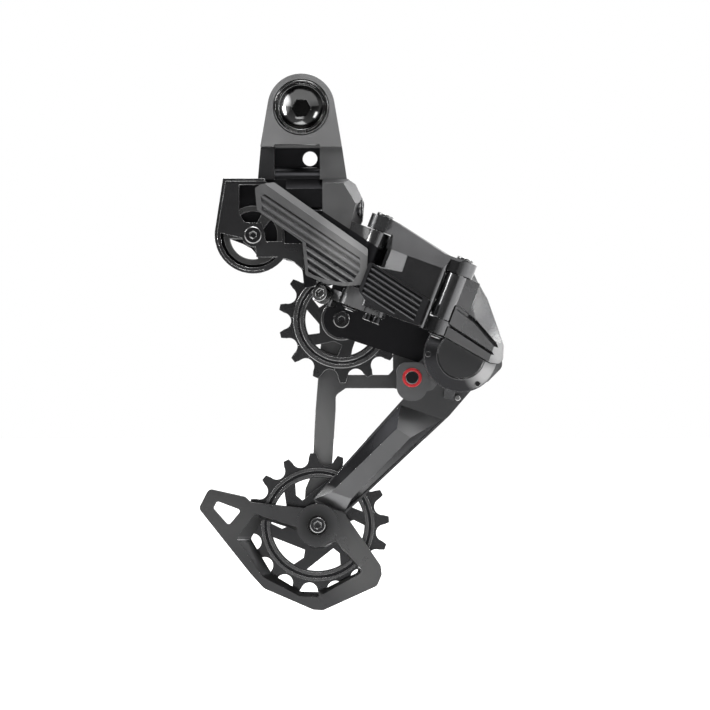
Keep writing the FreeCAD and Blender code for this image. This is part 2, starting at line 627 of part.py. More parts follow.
def pin_clips(places):
    clips = []
    for (u, y), foot in places:
        clip = tube(u, y, PIN_R + 1.5, PIN_R - 0.5, foot - 1.1, foot - 0.4)
        gap = slab([(u, y - 1), (u + 6, y - 1), (u + 6, y + 1), (u, y + 1)], foot - 2, foot)
        clips.append(tilted(clip.cut(gap)))
    return Part.makeCompound(clips)


OUTER_B_TOP, OUTER_B_FOOT = LINK_TOP_B, ANCHOR_BOTTOM
OUTER_P_TOP, OUTER_P_FOOT = LINK_TOP_P, LINK_BOTTOM


# ---------------------------------------------------------------- links
def link_ear(s, r, a0, a1, inward):
    """An ear round a pin, run into the link."""
    width_0, width_1 = -r, LINK_T1
    run = slab([(s, width_0), (s + inward * 11, width_0), (s + inward * 11, width_1), (s, width_1)], a0, a1)
    return post(s, 0, r, a0, a1).fuse(run)


def outer_link_local():
    top_lug = LINK_TOP_B
    shape = slab([(LINK_S0, LINK_T0, 2.0), (LINK_S1, LINK_T0, 2.0), (LINK_S1, LINK_T1), (LINK_S0, LINK_T1)],
                 LINK_BOTTOM, top_lug)
    pocket = slab([(LINK_S0 - 1, LINK_T0 + LINK_WALL), (LINK_S1 + 1, LINK_T0 + LINK_WALL),
                   (LINK_S1 + 1, LINK_T1 + 1), (LINK_S0 - 1, LINK_T1 + 1)],
                  LINK_BOTTOM + EAR_T, LINK_TOP_P - EAR_T)
    ears = [link_ear(0, EAR_LINK_R, LINK_TOP_B - EAR_T, LINK_TOP_B, 1),
            link_ear(0, EAR_LINK_R, ANCHOR_BOTTOM, LINK_BOTTOM + EAR_T, 1),
            link_ear(LINK_LENGTH, EAR_LINK_R, LINK_TOP_P - EAR_T, LINK_TOP_P, -1),
            link_ear(LINK_LENGTH, EAR_LINK_R, LINK_BOTTOM, LINK_BOTTOM + EAR_T, -1)]
    barrel_room = post(LINK_LENGTH, 0, BARREL_R + 0.7, LINK_BOTTOM + EAR_T, LINK_TOP_P - EAR_T)
    end_facet = slab([(LINK_S0 - 2, LINK_T0 - 1), (LINK_S0 + 5.5, LINK_T0 - 1), (LINK_S0 + 5.5, LINK_T0),
                      (LINK_S0, LINK_T0 + 4.6), (LINK_S0 - 2, LINK_T0 + 4.6)], -58.5, LINK_TOP_B + 1)
    shape = joined([shape.cut(pocket).cut(barrel_room).cut(end_facet)] + ears)
    # the top edge falls from the upper pin to the lower one
    side = ACROSS / 4
    fall = Part.Face(Part.makePolygon([
        Vector(7, -side, LINK_TOP_B), Vector(41, -side, LINK_TOP_P), Vector(ACROSS, -side, LINK_TOP_P),
        Vector(ACROSS, -side, 0), Vector(7, -side, 0), Vector(7, -side, LINK_TOP_B)]))
    shape = shape.cut(fall.extrude(Vector(0, 2 * side, 0)))
    # the upper front edge leans back
    lean = Part.Face(Part.makePolygon([
        Vector(LINK_S0 - 3, LINK_T0 - 1, -49), Vector(LINK_S0 - 3, LINK_T0, -49),
        Vector(LINK_S0 - 3, -3.2, LINK_TOP_B - 0.4), Vector(LINK_S0 - 3, -3.2, 0),
        Vector(LINK_S0 - 3, LINK_T0 - 1, 0), Vector(LINK_S0 - 3, LINK_T0 - 1, -49)]))
    shape = shape.cut(lean.extrude(Vector(LINK_LENGTH, 0, 0)))
    return shape


def anchor_arm():
    """Tail of the outer link that the cable pulls on."""
    foot = ANCHOR_BOTTOM - 3.5
    top = LINK_BOTTOM + 2.5
    arm = slab([(ANCHOR_S - 5, -3.5, 1.5), (ANCHOR_S + 6, -3.5), (0, -4.5), (0, 4.5),
                (ANCHOR_S - 5, 3.5, 1.5)], ANCHOR_BOTTOM, top)
    pad = slab([(ANCHOR_S - 5, -3.5, 1.5), (ANCHOR_S + 5, -3.5, 1.5), (ANCHOR_S + 5, 3.5, 1.5),
                (ANCHOR_S - 5, 3.5, 1.5)], foot, top)
    return arm.fuse(pad)


def anchor_hole(r, t0, t1):
    middle = (ANCHOR_BOTTOM - 3.5 + LINK_BOTTOM + 2.5) / 2
    return Part.makeCylinder(r, t1 - t0, Vector(ANCHOR_S, t0, middle), Vector(0, 1, 0))


def limit_boss():
    s0 = LIMIT_S[0] - 3
    s1 = LIMIT_S[1] + 3
    return slab([(s0, LIMIT_T - 3, 2.0), (s1, LIMIT_T - 3, 2.0), (s1, LIMIT_T + 3, 2.0),
                 (s0, LIMIT_T + 3, 2.0)], ANCHOR_BOTTOM, LINK_BOTTOM + 0.5)


LINK_SKID = [(7.0, -58.0), (44.5, -65.4), (44.5, -78.6), (34.0, -79.0), (20.0, -79.0), (12.0, -76.0),
             (7.0, -73.0)]
LINK_SKID_SCREWS = [(14.0, -66.0), (35.0, -68.6)]
LINK_SKID_T = 2.6
LINK_FLUTES = 6
LINK_FLUTE_PITCH = 2.5
LINK_FLUTE_DEPTH = 1.0
LINK_BORDER, LINK_TOP_BORDER, LINK_END_BORDER = 2.0, 1.6, 3.5   # plain margins round the flutes


def skid_on_link(points, t0, t1):
    """An outline in S and A, pulled across the link."""
    wire = outline(points, lambda s, a: Vector(s, t0, a))
    return Part.Face(wire).extrude(Vector(0, t1 - t0, 0))


def link_skid_plate():
    t0 = LINK_T0 - LINK_SKID_T
    points = [(s, a, 1.2) for s, a in LINK_SKID]
    shape = skid_on_link(points, t0, LINK_T0)
    fall = (LINK_SKID[1][1] - LINK_SKID[0][1]) / (LINK_SKID[1][0] - LINK_SKID[0][0])
    for i in range(LINK_FLUTES):
        s0, s1 = LINK_SKID[0][0] + LINK_BORDER, LINK_SKID[1][0] - LINK_END_BORDER
        a0 = LINK_SKID[0][1] + fall * LINK_BORDER - LINK_TOP_BORDER - LINK_FLUTE_PITCH * i
        a1 = a0 + fall * (s1 - s0)
        floor = LINK_SKID[2][1] + LINK_BORDER
        if a1 < floor:
            s1 = s0 + (floor - a0) / fall
            a1 = floor
        half = FLUTE_SHARE * LINK_FLUTE_PITCH / 2
        groove = Part.Face(Part.makePolygon([
            Vector(s0, t0 - 0.5, a0 + half), Vector(s0, t0, a0 + half), Vector(s0, t0 + LINK_FLUTE_DEPTH, a0),
            Vector(s0, t0, a0 - half), Vector(s0, t0 - 0.5, a0 - half), Vector(s0, t0 - 0.5, a0 + half)]))
        shape = shape.cut(groove.extrude(Vector(s1 - s0, 0, a1 - a0)))
    for s, a in LINK_SKID_SCREWS:
        shape = shape.cut(Part.makeCylinder(1.25 + SEAT, 3, Vector(s, LINK_T0 - 1.8, a), Vector(0, 1, 0)))
    return on_link(shape, B_OUTER)


def link_skid_screws():
    screws = []
    for s, a in LINK_SKID_SCREWS:
        inner = LINK_T0 + LINK_WALL
        screw = Part.makeCylinder(1.25, LINK_WALL + 1.6, Vector(s, LINK_T0 - 1.6, a), Vector(0, 1, 0))
        screw = screw.fuse(Part.makeCylinder(2.3, 1.6, Vector(s, inner, a), Vector(0, 1, 0)))
        key = Part.makeCylinder(0.9, 2, Vector(s, inner + 0.8, a), Vector(0, 1, 0))
        screws.append(on_link(screw.cut(key), B_OUTER))
    return Part.makeCompound(screws)


def outer_link():
    shape = joined([outer_link_local(), anchor_arm(), limit_boss()])
    bush_r = PIN_R + BUSH_WALL
    for s in (0, LINK_LENGTH):
        shape = shape.cut(post(s, 0, bush_r + SEAT, -95, -25))
    shape = shape.cut(anchor_hole(2.5 + SEAT, -20, 20))
    for s in LIMIT_S:
        shape = shape.cut(post(s, LIMIT_T, LIMIT_R + RUN, -95, LINK_BOTTOM + EAR_T + 1))
    for s, a in LINK_SKID_SCREWS:
        shape = shape.cut(Part.makeCylinder(1.25 + BOLT, 12, Vector(s, LINK_T0 - 1, a), Vector(0, 1, 0)))
    return on_link(shape.removeSplitter(), B_OUTER)


def cable_anchor_bolt():
    middle = (ANCHOR_BOTTOM - 3.5 + LINK_BOTTOM + 2.5) / 2
    seat = -3.5 - 1.6
    bolt = anchor_hole(2.5, seat - 1, 5.0)
    head = anchor_hole(4.0, seat - 3.6, seat)
    corner = 4.0 / math.sqrt(3)
    points = [(ANCHOR_S + corner * math.cos(math.radians(60 * i)), middle + corner * math.sin(math.radians(60 * i)))
              for i in range(6)]
    socket = skid_on_link(points, seat - 4, seat - 1.2)
    return on_link(bolt.fuse(head).cut(socket), B_OUTER)


def cable_anchor_washer():
    washer = anchor_hole(4.7, -3.5 - 1.6, -3.5)
    washer = washer.cut(anchor_hole(2.5 + BOLT, -10, 0))
    groove = Part.makeCylinder(0.9, 20, Vector(ANCHOR_S - 10, -3.5, ANCHOR_BOTTOM - 3.2), Vector(1, 0, 0))
    return on_link(washer.cut(groove), B_OUTER)


def outer_link_bushes():
    spans = [(0, LINK_TOP_B - EAR_T, LINK_TOP_B), (0, ANCHOR_BOTTOM, LINK_BOTTOM + EAR_T),
             (LINK_LENGTH, LINK_TOP_P - EAR_T, LINK_TOP_P), (LINK_LENGTH, LINK_BOTTOM, LINK_BOTTOM + EAR_T)]
    bushes = [tube(s, 0, PIN_R + BUSH_WALL, PIN_R + RUN, a0, a1) for s, a0, a1 in spans]
    return on_link(Part.makeCompound(bushes), B_OUTER)


def limit_screw(s):
    head = post(s, LIMIT_T, 2.2, ANCHOR_BOTTOM - 3.6, ANCHOR_BOTTOM - 0.4)
    shank = post(s, LIMIT_T, LIMIT_R, ANCHOR_BOTTOM - 2, LINK_BOTTOM + EAR_T + 3)
    socket = post(s, LIMIT_T, 1.1, ANCHOR_BOTTOM - 5, ANCHOR_BOTTOM - 2)
    return on_link(head.fuse(shank).cut(socket), B_OUTER)


def inner_link():
    s0, s1 = 7.5, LINK_LENGTH - 7.5
    web = slab([(s0, -2.0), (s1, -2.0), (s1, 3.0), (s0, 3.0)], INNER_BOTTOM, INNER_TOP)
    parts = [web]
    for s, inward in ((0, 1), (LINK_LENGTH, -1)):
        for a0, a1 in ((INNER_TOP - INNER_EAR_T, INNER_TOP), (INNER_BOTTOM, INNER_BOTTOM + INNER_EAR_T)):
            parts.append(post(s, 0, INNER_EAR_R, a0, a1))
            parts.append(slab([(s, -4), (s + inward * 10, -2.0), (s + inward * 10, 3.0), (s, 4)], a0, a1))
    shape = joined(parts)
    shape = shape.cut(slab([(14, -5, 2), (35, -5, 2), (35, 0.2, 2), (14, 0.2, 2)],
                           INNER_BOTTOM + 5, INNER_TOP - 5))
    for s in (0, LINK_LENGTH):
        shape = shape.cut(post(s, 0, PIN_R + BUSH_WALL + SEAT, -95, -25))
    return on_link(shape.removeSplitter(), B_INNER)


def inner_link_bushes():
    bushes = []
    for s in (0, LINK_LENGTH):
        for a0, a1 in ((INNER_TOP - INNER_EAR_T, INNER_TOP), (INNER_BOTTOM, INNER_BOTTOM + INNER_EAR_T)):
            bushes.append(tube(s, 0, PIN_R + BUSH_WALL, PIN_R + RUN, a0, a1))
    return on_link(Part.makeCompound(bushes), B_INNER)


# ---------------------------------------------------------------- lower knuckle
def hood_outline(grow):
    return [(81.5 + grow, -76.5 + grow, 1.0), (84.9 + grow, -84.5), (89.8 + grow, -93.2),
            (94.8 + grow, -107.8), (97.4 + grow, -115.5, 3.0), (97.0 + grow, -124.5, 3.0),
            (91.0, -123.7 - grow), (67.6 - grow, -110.4 - grow)]


# Planes that facet the hood: two places on its front face, and one further back.
HOOD_FACETS = [((75.4, -97.6), (83.7, -103.9), (88.5, -94.6), 7.0),
               ((83.7, -103.9), (93.4, -115.1), (95.8, -110.2), 4.5),
               ((93.0, -114.6), (89.8, -123.4), (97.6, -119.0), 6.0)]
HOOD_CHANNEL = [(75.4, -97.6), (83.7, -103.9), (94.6, -116.5)]
HOOD_CHANNEL_W, HOOD_CHANNEL_T = 2.4, 2.2
HOOD_SEAM_W = 1.4
HOOD_SEAM = [(66.0, -102.6), (93.0, -120.2)]


def hood():
    shape = plate(hood_outline(0), HOOD_FRONT, HOOD_BACK)
    for a, b, c, drop in HOOD_FACETS:
        shape = shape.cut(beyond((a[0], HOOD_FRONT, a[1]), (b[0], HOOD_FRONT, b[1]),
                                 (c[0], HOOD_FRONT + drop, c[1])))
    for start, end in zip(HOOD_CHANNEL, HOOD_CHANNEL[1:]):
        shape = shape.cut(vee(start, end, HOOD_CHANNEL_W, HOOD_CHANNEL_T, HOOD_FRONT))
    return shape.cut(vee(HOOD_SEAM[0], HOOD_SEAM[1], HOOD_SEAM_W, HOOD_SEAM_W, HOOD_FRONT))


def p_knuckle():
    pu, py = P_OUTER_DRAWN
    iu, iy = P_INNER_DRAWN
    outer_top = LINK_TOP_P - EAR_T - EAR_GAP
    outer_foot = LINK_BOTTOM + EAR_T + EAR_GAP
    inner_top = INNER_TOP - INNER_EAR_T - EAR_GAP
    inner_foot = INNER_BOTTOM + INNER_EAR_T + EAR_GAP
    barrel = disc(CAGE_X, CAGE_Z, BARREL_OUT_R, BARREL_Y0, BARREL_Y1)
    shoulder = plate([(88, -100), (97.0, -114, 3), (97.0, -126, 4), (90, -133)], BARREL_Y0, 3.0)
    hood_shape = hood()
    ear_space = tilted(post(pu, py, EAR_LINK_R + 0.6, LINK_BOTTOM - 0.5, -30))
    inner_space = tilted(post(iu, iy, EAR_LINK_R + 0.6, INNER_BOTTOM - 0.4, -30))
    hood_shape = hood_shape.cut(ear_space).cut(inner_space)
    reach = 111.0
    neck = 4.9
    tongues = [
        tilted(post(pu, py, BARREL_R, outer_foot, outer_top)),
        tilted(slab([(pu, py - neck), (reach, py - neck), (reach, py + neck), (pu, py + neck)],
                    outer_foot, outer_top)),
        tilted(post(iu, iy, INNER_BARREL_R, inner_foot, inner_top)),
        tilted(slab([(iu, iy - neck), (reach, iy - neck), (reach, iy + neck), (iu, iy + neck)],
                    inner_foot, inner_top)),
    ]
    boss = plate([(46.4, -123.6, 4.5), (61.4, -123.6, 4.5), (61.4, -142.4, 7.0), (46.4, -142.4, 7.0)],
                 BOSS_Y0, 8.0)
    boss_back = disc(LOCK_X, LOCK_Z, 7.2, 8.0, 11.2)
    boss_arm = plate([(56, -124.5), (66, -116), (68, -132), (64, -137), (56, -139)], 0.0, 8.0)
    shape = joined([barrel, shoulder, hood_shape, boss, boss_back, boss_arm] + tongues)
    cavity = disc(CAGE_X, CAGE_Z, BARREL_IN_R, BARREL_Y0, BARREL_Y1 - BACK_WALL)
    open_front = disc(CAGE_X, CAGE_Z, BARREL_IN_R, BARREL_Y0 - 1, BARREL_Y0 + 1).cut(
        plate(hood_outline(0.2), HOOD_FRONT, HOOD_BACK))
    lug_end = STOP_PIN_AT - math.degrees(math.asin((STOP_PIN_R + 0.2) / STOP_PIN_REACH))
    lug_out = STOP_PIN_REACH + STOP_PIN_R
    stop_lug = plate([polar(CAGE_X, CAGE_Z, 16.5, lug_end - 18), polar(CAGE_X, CAGE_Z, 16.5, lug_end),
                      polar(CAGE_X, CAGE_Z, lug_out, lug_end), polar(CAGE_X, CAGE_Z, lug_out, lug_end - 14)],
                     6.0, 11.0)
    shape = shape.fuse(stop_lug)
    holes = [cavity, open_front,
             disc(CAGE_X, CAGE_Z, CAGE_BUSH_R + SEAT, 0, BARREL_Y1 + 1),
             disc(LOCK_X, LOCK_Z, LOCK_HEAD_R + 0.1, BOSS_Y0 - 1, 8.4),
             disc(LOCK_X, LOCK_Z, LOCK_PIN_R + RUN, 0, 20)]
    for x, z in COVER_SCREWS:
        holes.append(disc(x, z, 1.0 + SEAT, BARREL_Y0 - 1, BARREL_Y0 + 6))
    for u, y in (P_OUTER_DRAWN, P_INNER_DRAWN):
        holes.append(tilted(post(u, y, PIN_R + SEAT, -95, -25)))
    for hole in holes:
        shape = shape.cut(hole)
    return shape.removeSplitter()


COVER_HEAD_R = 1.3
COVER_SCREWS = [polar(CAGE_X, CAGE_Z, 15.9, 178), polar(CAGE_X, CAGE_Z, 15.9, 300)]


def clutch_cover():
    front = BARREL_Y0 - COVER_T
    shape = revolved([(0, front + 0.5), (COVER_FLAT_R - 0.9, front + 0.5), (COVER_FLAT_R - 0.4, front),
                      (COVER_FLAT_R, front), (17.4, BARREL_Y0 - 0.8), (17.4, BARREL_Y0), (0, BARREL_Y0)],
                     CAGE_X, CAGE_Z)
    shape = shape.cut(plate(hood_outline(0.35), HOOD_FRONT, HOOD_BACK))
    ear_space = tilted(post(P_OUTER_DRAWN[0], P_OUTER_DRAWN[1], EAR_LINK_R + 0.6, LINK_BOTTOM - 0.5, -30))
    shape = shape.cut(ear_space)
    for x, z in COVER_SCREWS:
        shape = shape.cut(disc(x, z, 1.0 + BOLT, front - 1, 0))
        shape = shape.cut(disc(x, z, COVER_HEAD_R + BOLT, front - 1, BARREL_Y0 - 1.2 + SEAT))
    return shape.removeSplitter()


def clutch_cover_screws():
    screws = []
    for x, z in COVER_SCREWS:
        screw = disc(x, z, 1.0, BARREL_Y0 - 1.6, BARREL_Y0 + 5)
        screws.append(screw.fuse(disc(x, z, COVER_HEAD_R, BARREL_Y0 - 2.4, BARREL_Y0 - 1.2)))
    return Part.makeCompound(screws)


def cage_bush():
    y0 = BARREL_Y1 - BACK_WALL
    bush = ring(CAGE_X, CAGE_Z, CAGE_BUSH_R, AXLE_R + RUN, y0, BARREL_Y1)
    flange = ring(CAGE_X, CAGE_Z, CAGE_BUSH_R + 2, AXLE_R + RUN, y0 - 1.2, y0)
    return bush.fuse(flange).removeSplitter()


def cage_spring():
    wire_r = 1.3
    pitch = 3.0
    height = 15.0
    end = BARREL_Y1 - BACK_WALL - wire_r - 0.3
    return along_y(coil(12.3, wire_r, pitch, height), CAGE_X, end - height, CAGE_Z)


def roller_clutch():
    return ring(CAGE_X, CAGE_Z, 9.6, AXLE_R + RUN, -20.5, -14.5)


def clutch_band():
    band = ring(CAGE_X, CAGE_Z, 11.0, 9.6 + SEAT, -20.0, -15.0)
    lugs = block(CAGE_X - 3.0, CAGE_X + 3.0, -20.0, -15.0, CAGE_Z - 14.2, CAGE_Z - 10.3)
    split = block(CAGE_X - 0.6, CAGE_X + 0.6, -21, -14, CAGE_Z - 15, CAGE_Z - 9)
    screw_hole = Part.makeCylinder(1.1, 10, Vector(CAGE_X - 5, -17.5, CAGE_Z - 12.6), Vector(1, 0, 0))
    return band.fuse(lugs).cut(split).cut(screw_hole).removeSplitter()


def clutch_screw():
    along = Vector(1, 0, 0)
    place = Vector(CAGE_X - 3.2, -17.5, CAGE_Z - 12.6)
    shape = Part.makeCylinder(1.05, 7.0, place, along)
    return shape.fuse(Part.makeCylinder(1.6, 1.4, Vector(CAGE_X - 4.4, -17.5, CAGE_Z - 12.6), along))


# ---------------------------------------------------------------- lock
def lock_button():
    top = BOSS_Y0 - 1.2
    head = disc(LOCK_X, LOCK_Z, LOCK_HEAD_R, top, BOSS_Y0 + 4.2)
    head = head.cut(ring(LOCK_X, LOCK_Z, LOCK_HEAD_R + 1, LOCK_CORE_R, top - 1, top + LOCK_RING_T))
    pin = disc(LOCK_X, LOCK_Z, LOCK_PIN_R, BOSS_Y0 + 2, 11.4)
    return head.fuse(pin).removeSplitter()


def lock_button_ring():
    top = BOSS_Y0 - 1.2
    return ring(LOCK_X, LOCK_Z, LOCK_HEAD_R, LOCK_CORE_R + SEAT, top, top + LOCK_RING_T)


def lock_button_spring():
    wire_r = 0.45
    start = BOSS_Y0 + 4.2 + wire_r
    height = 8.4 - start - wire_r
    return along_y(coil(3.2, wire_r, height / 5, height), LOCK_X, start, LOCK_Z)


# ---------------------------------------------------------------- cage
def pulley_arm(x0, z0, x1, z1, half_0, half_1, y0, y1):
    """A bar between two hubs."""
    run = Vector(x1 - x0, 0, z1 - z0).normalize()
    side = Vector(-run.z, 0, run.x)
    points = [(x0 + side.x * half_0, z0 + side.z * half_0), (x1 + side.x * half_1, z1 + side.z * half_1),
              (x1 - side.x * half_1, z1 - side.z * half_1), (x0 - side.x * half_0, z0 - side.z * half_0)]
    return plate(points, y0, y1)


LOWER_FRAME = [(5.1, -195.5), (20.2, -196.6, 4), (38.8, -223.4, 3), (39.3, -227.6, 3), (37.0, -233.2, 3),
               (10.5, -245.2, 2.5), (5.6, -244.9, 2.5), (-18.6, -234.4, 5), (-25.4, -226.9, 3),
               (-50.5, -195.2, 2.5), (-45.6, -185.6, 2.5), (-27.6, -189.6, 3), (-25.1, -192.2, 3)]
# the opening of the frame at its front face, and smaller through its back
FRAME_OPEN = [(-23.2, -197.6, 1.5), (-1.9, -204.6, 1), (-1.2, -208.5, 1.5), (5.5, -214.4, 3),
              (11.5, -213.6, 2), (16.6, -210.9, 1.5), (30.3, -226.2, 2), (8.2, -238.6, 2),
              (-0.9, -238.4, 2), (-19.6, -228.6, 3), (-32.0, -209.8, 2)]
FRAME_THROUGH = [(-19.2, -200.8, 1.5), (-1.9, -206.4, 1), (-1.2, -208.9, 1.5), (5.2, -215.4, 3),
                 (11.9, -214.6, 2), (16.9, -212.2, 1.5), (28.6, -226.2, 2), (7.9, -236.4, 2),
                 (-0.4, -236.2, 2), (-14.6, -227.6, 3), (-25.0, -210.2, 2)]
TRIANGLE = [(-41.5, -191.6, 1.2), (-29.6, -196.1, 1.2), (-35.9, -203.6, 1.2), (-43.4, -195.2, 1.2)]


def cage_outer_plate():
    parts = [
        disc(CAGE_X, CAGE_Z, 16.6, PLATE_Y0, PLATE_Y1),
        disc(UPPER_X, UPPER_Z, 8.8, PLATE_Y0, PLATE_Y1),
        pulley_arm(UPPER_X, UPPER_Z, CAGE_X, CAGE_Z, 8.0, 9.6, PLATE_Y0, PLATE_Y1),
        plate([(62.5, -127.5), (47.1, -144.4), (5.6, -190.7), (10, -198), (21.2, -198), (72.4, -149.8),
               (86, -134)], PLATE_Y0, PLATE_Y1),
        plate(LOWER_FRAME, FRAME_Y, PLATE_Y1),
        disc(LOWER_X, LOWER_Z, 10.5, FRAME_Y - 1.2, PLATE_Y1),
        tapered([(48.6, -144.6), (69.0, -151.6), (20.6, -197.4), (5.9, -190.9)], PLATE_Y0,
                [(46.6, -156.0), (53.2, -160.4), (24.4, -190.4), (14.6, -187.0)], CAGE_FORM_Y),
    ]
    shape = joined(parts)
    opening = tapered(FRAME_OPEN, FRAME_Y - 0.1, FRAME_THROUGH, PLATE_Y1 + 0.1)
    holes = [opening, plate(TRIANGLE, FRAME_Y - 1, PLATE_Y1 + 1),
             disc(CAGE_X, CAGE_Z, AXLE_R - 1.5 + SEAT, -ACROSS, ACROSS)]
    for x, z in ((UPPER_X, UPPER_Z), (LOWER_X, LOWER_Z)):
        holes.append(disc(x, z, PULLEY_BOLT_R + BOLT, -ACROSS, ACROSS))
    holes.append(disc(LOWER_X, LOWER_Z, LOWER_RECESS_R, FRAME_Y - 3, FRAME_Y + LOWER_RECESS))
    holes.append(disc(STANDOFF_X, STANDOFF_Z, STANDOFF_SCREW_R + BOLT, 0, ACROSS))
    holes.append(disc(STANDOFF_X, STANDOFF_Z, STANDOFF_HEAD_R + BOLT, 0, PLATE_Y0 + STANDOFF_HEAD_T))
    stop_x, stop_z = polar(CAGE_X, CAGE_Z, STOP_PIN_REACH, STOP_PIN_AT)
    holes.append(disc(stop_x, stop_z, STOP_PIN_R + SEAT, 0, ACROSS))
    for hole in holes:
        shape = shape.cut(hole)
    return shape.removeSplitter()


def cage_inner_plate():
    y0, y1 = PLATE_IN_Y0, PLATE_IN_Y1
    parts = [
        disc(UPPER_X, UPPER_Z, 10.4, y0, y1),
        pulley_arm(UPPER_X, UPPER_Z, 54, -113, 6.5, 5.5, y0, y1),
        plate([(44.8, -108), (56, -108, 4), (66, -134.0, 3), (61, -140.0, 3), (44.8, -136.4)], y0, y1),
        plate([(14, -129.8), (42.6, -129.8), (48, -124.0), (52, -124.0), (52, -136.5), (14, -136.5)], y0, y1),
        plate([(10.0, -104), (26, -110), (23.0, -128), (21.5, -136.5), (16.6, -140.0, 3.0), (16.6, -147),
               (14.6, -178), (18.0, -186), (18.0, -203), (0.6, -203), (1.6, -186), (5.0, -178),
               (6.6, -147)], y0, y1),
        disc(LOWER_X, LOWER_Z, 11.0, y0, y1),
        disc(STANDOFF_X, STANDOFF_Z, 5.0, y0, y1),
    ]
    shape = joined(parts)
    for x, z, r in ((UPPER_X, UPPER_Z, PULLEY_BOLT_R), (LOWER_X, LOWER_Z, PULLEY_BOLT_R),
                    (STANDOFF_X, STANDOFF_Z, STANDOFF_SCREW_R)):
        shape = shape.cut(disc(x, z, r + SEAT, y0 - 1, y1 + 1))
    return shape.removeSplitter()


def cage_axle():
    neck_y = PLATE_Y0
    shape = disc(CAGE_X, CAGE_Z, AXLE_R, -21.5, neck_y).fuse(
        disc(CAGE_X, CAGE_Z, AXLE_R - 1.5, neck_y - 0.5, PLATE_Y1))
    return shape.cut(disc(CAGE_X, CAGE_Z, 2.0 + SEAT, 0, ACROSS)).removeSplitter()


def cage_axle_screw():
    head_y = PLATE_Y1 + 1.8
    shape = disc(CAGE_X, CAGE_Z, 2.0, 1.0, PLATE_Y1 + 0.5).fuse(disc(CAGE_X, CAGE_Z, 6.6, PLATE_Y1, head_y))
    return shape.cut(hexagon(CAGE_X, CAGE_Z, 3.0, PLATE_Y1 + 0.3, head_y + 1))


def pulley_bolt(x, z, seat_y, head_r):
    return socket_bolt(x, z, PULLEY_BOLT_R, head_r, 2.4, seat_y, PLATE_IN_Y1, 3.2)


def pulley_sleeve(x, z):
    return ring(x, z, SLEEVE_R, PULLEY_BOLT_R + SEAT, PLATE_Y1, PLATE_IN_Y0)


def cage_standoff():
    return ring(STANDOFF_X, STANDOFF_Z, STANDOFF_R, STANDOFF_SCREW_R + SEAT, PLATE_Y1, PLATE_IN_Y0)


def cage_standoff_screw():
    return socket_bolt(STANDOFF_X, STANDOFF_Z, STANDOFF_SCREW_R, STANDOFF_HEAD_R, STANDOFF_HEAD_T,
                       PLATE_Y0 + STANDOFF_HEAD_T, PLATE_IN_Y1, 2.0)


def cage_stop_pin():
    x, z = polar(CAGE_X, CAGE_Z, STOP_PIN_REACH, STOP_PIN_AT)
    return disc(x, z, STOP_PIN_R, BARREL_Y1 - BACK_WALL, PLATE_Y1)


# ---------------------------------------------------------------- pulleys
def pitch_radius(teeth):
    return CHAIN_PITCH / (2 * math.sin(math.pi / teeth))


def toothed_wire(x, z, teeth, y, phase):
    """Outline of the teeth: straight flanks, and round seats for the chain's rollers."""
    pitch_r = pitch_radius(teeth)
    step = 360.0 / teeth
    tip_r = pitch_r + TOOTH_ABOVE
    side = step / 2 - math.degrees(math.asin(ROLLER_SEAT_R / pitch_r))
    tip = math.degrees(TOOTH_TIP_HALF / tip_r)
    edges = []
    for i in range(teeth):
        middle = phase + step * i

        def at(r, degrees):
            px, pz = polar(x, z, r, degrees)
            return Vector(px, y, pz)

        foot_0, foot_1 = at(pitch_r, middle - side), at(pitch_r, middle + side)
        tip_0, tip_1 = at(tip_r, middle - tip), at(tip_r, middle + tip)
        edges.append(Part.LineSegment(foot_0, tip_0).toShape())
        edges.append(Part.LineSegment(tip_0, tip_1).toShape())
        edges.append(Part.LineSegment(tip_1, foot_1).toShape())
        seat = at(pitch_r - SEAT_DEPTH, middle + step / 2)
        edges.append(Part.Arc(foot_1, seat, at(pitch_r, middle + step - side)).toShape())
    return Part.Wire(edges)


def toothed_disc(x, z, teeth, phase, half):
    outline_wire = toothed_wire(x, z, teeth, PULLEY_Y - half, phase)
    return Part.Face(outline_wire).extrude(Vector(0, 2 * half, 0))


def swirl_window(x, z, corners, y0, y1):
    """A window of four corners, each a (radius, degrees); its first side is an arc."""
    def at(r, degrees):
        px, pz = polar(x, z, r, degrees)
        return Vector(px, y0, pz)

    (r0, a0), (r1, a1) = corners[:2]
    places = [at(r, degrees) for r, degrees in corners]
    edges = [Part.Arc(places[0], at((r0 + r1) / 2, (a0 + a1) / 2), places[1]).toShape()]
    for start, end in zip(places[1:], places[2:] + places[:1]):
        edges.append(Part.LineSegment(start, end).toShape())
    return Part.Face(Part.Wire(edges)).extrude(Vector(0, y1 - y0, 0))


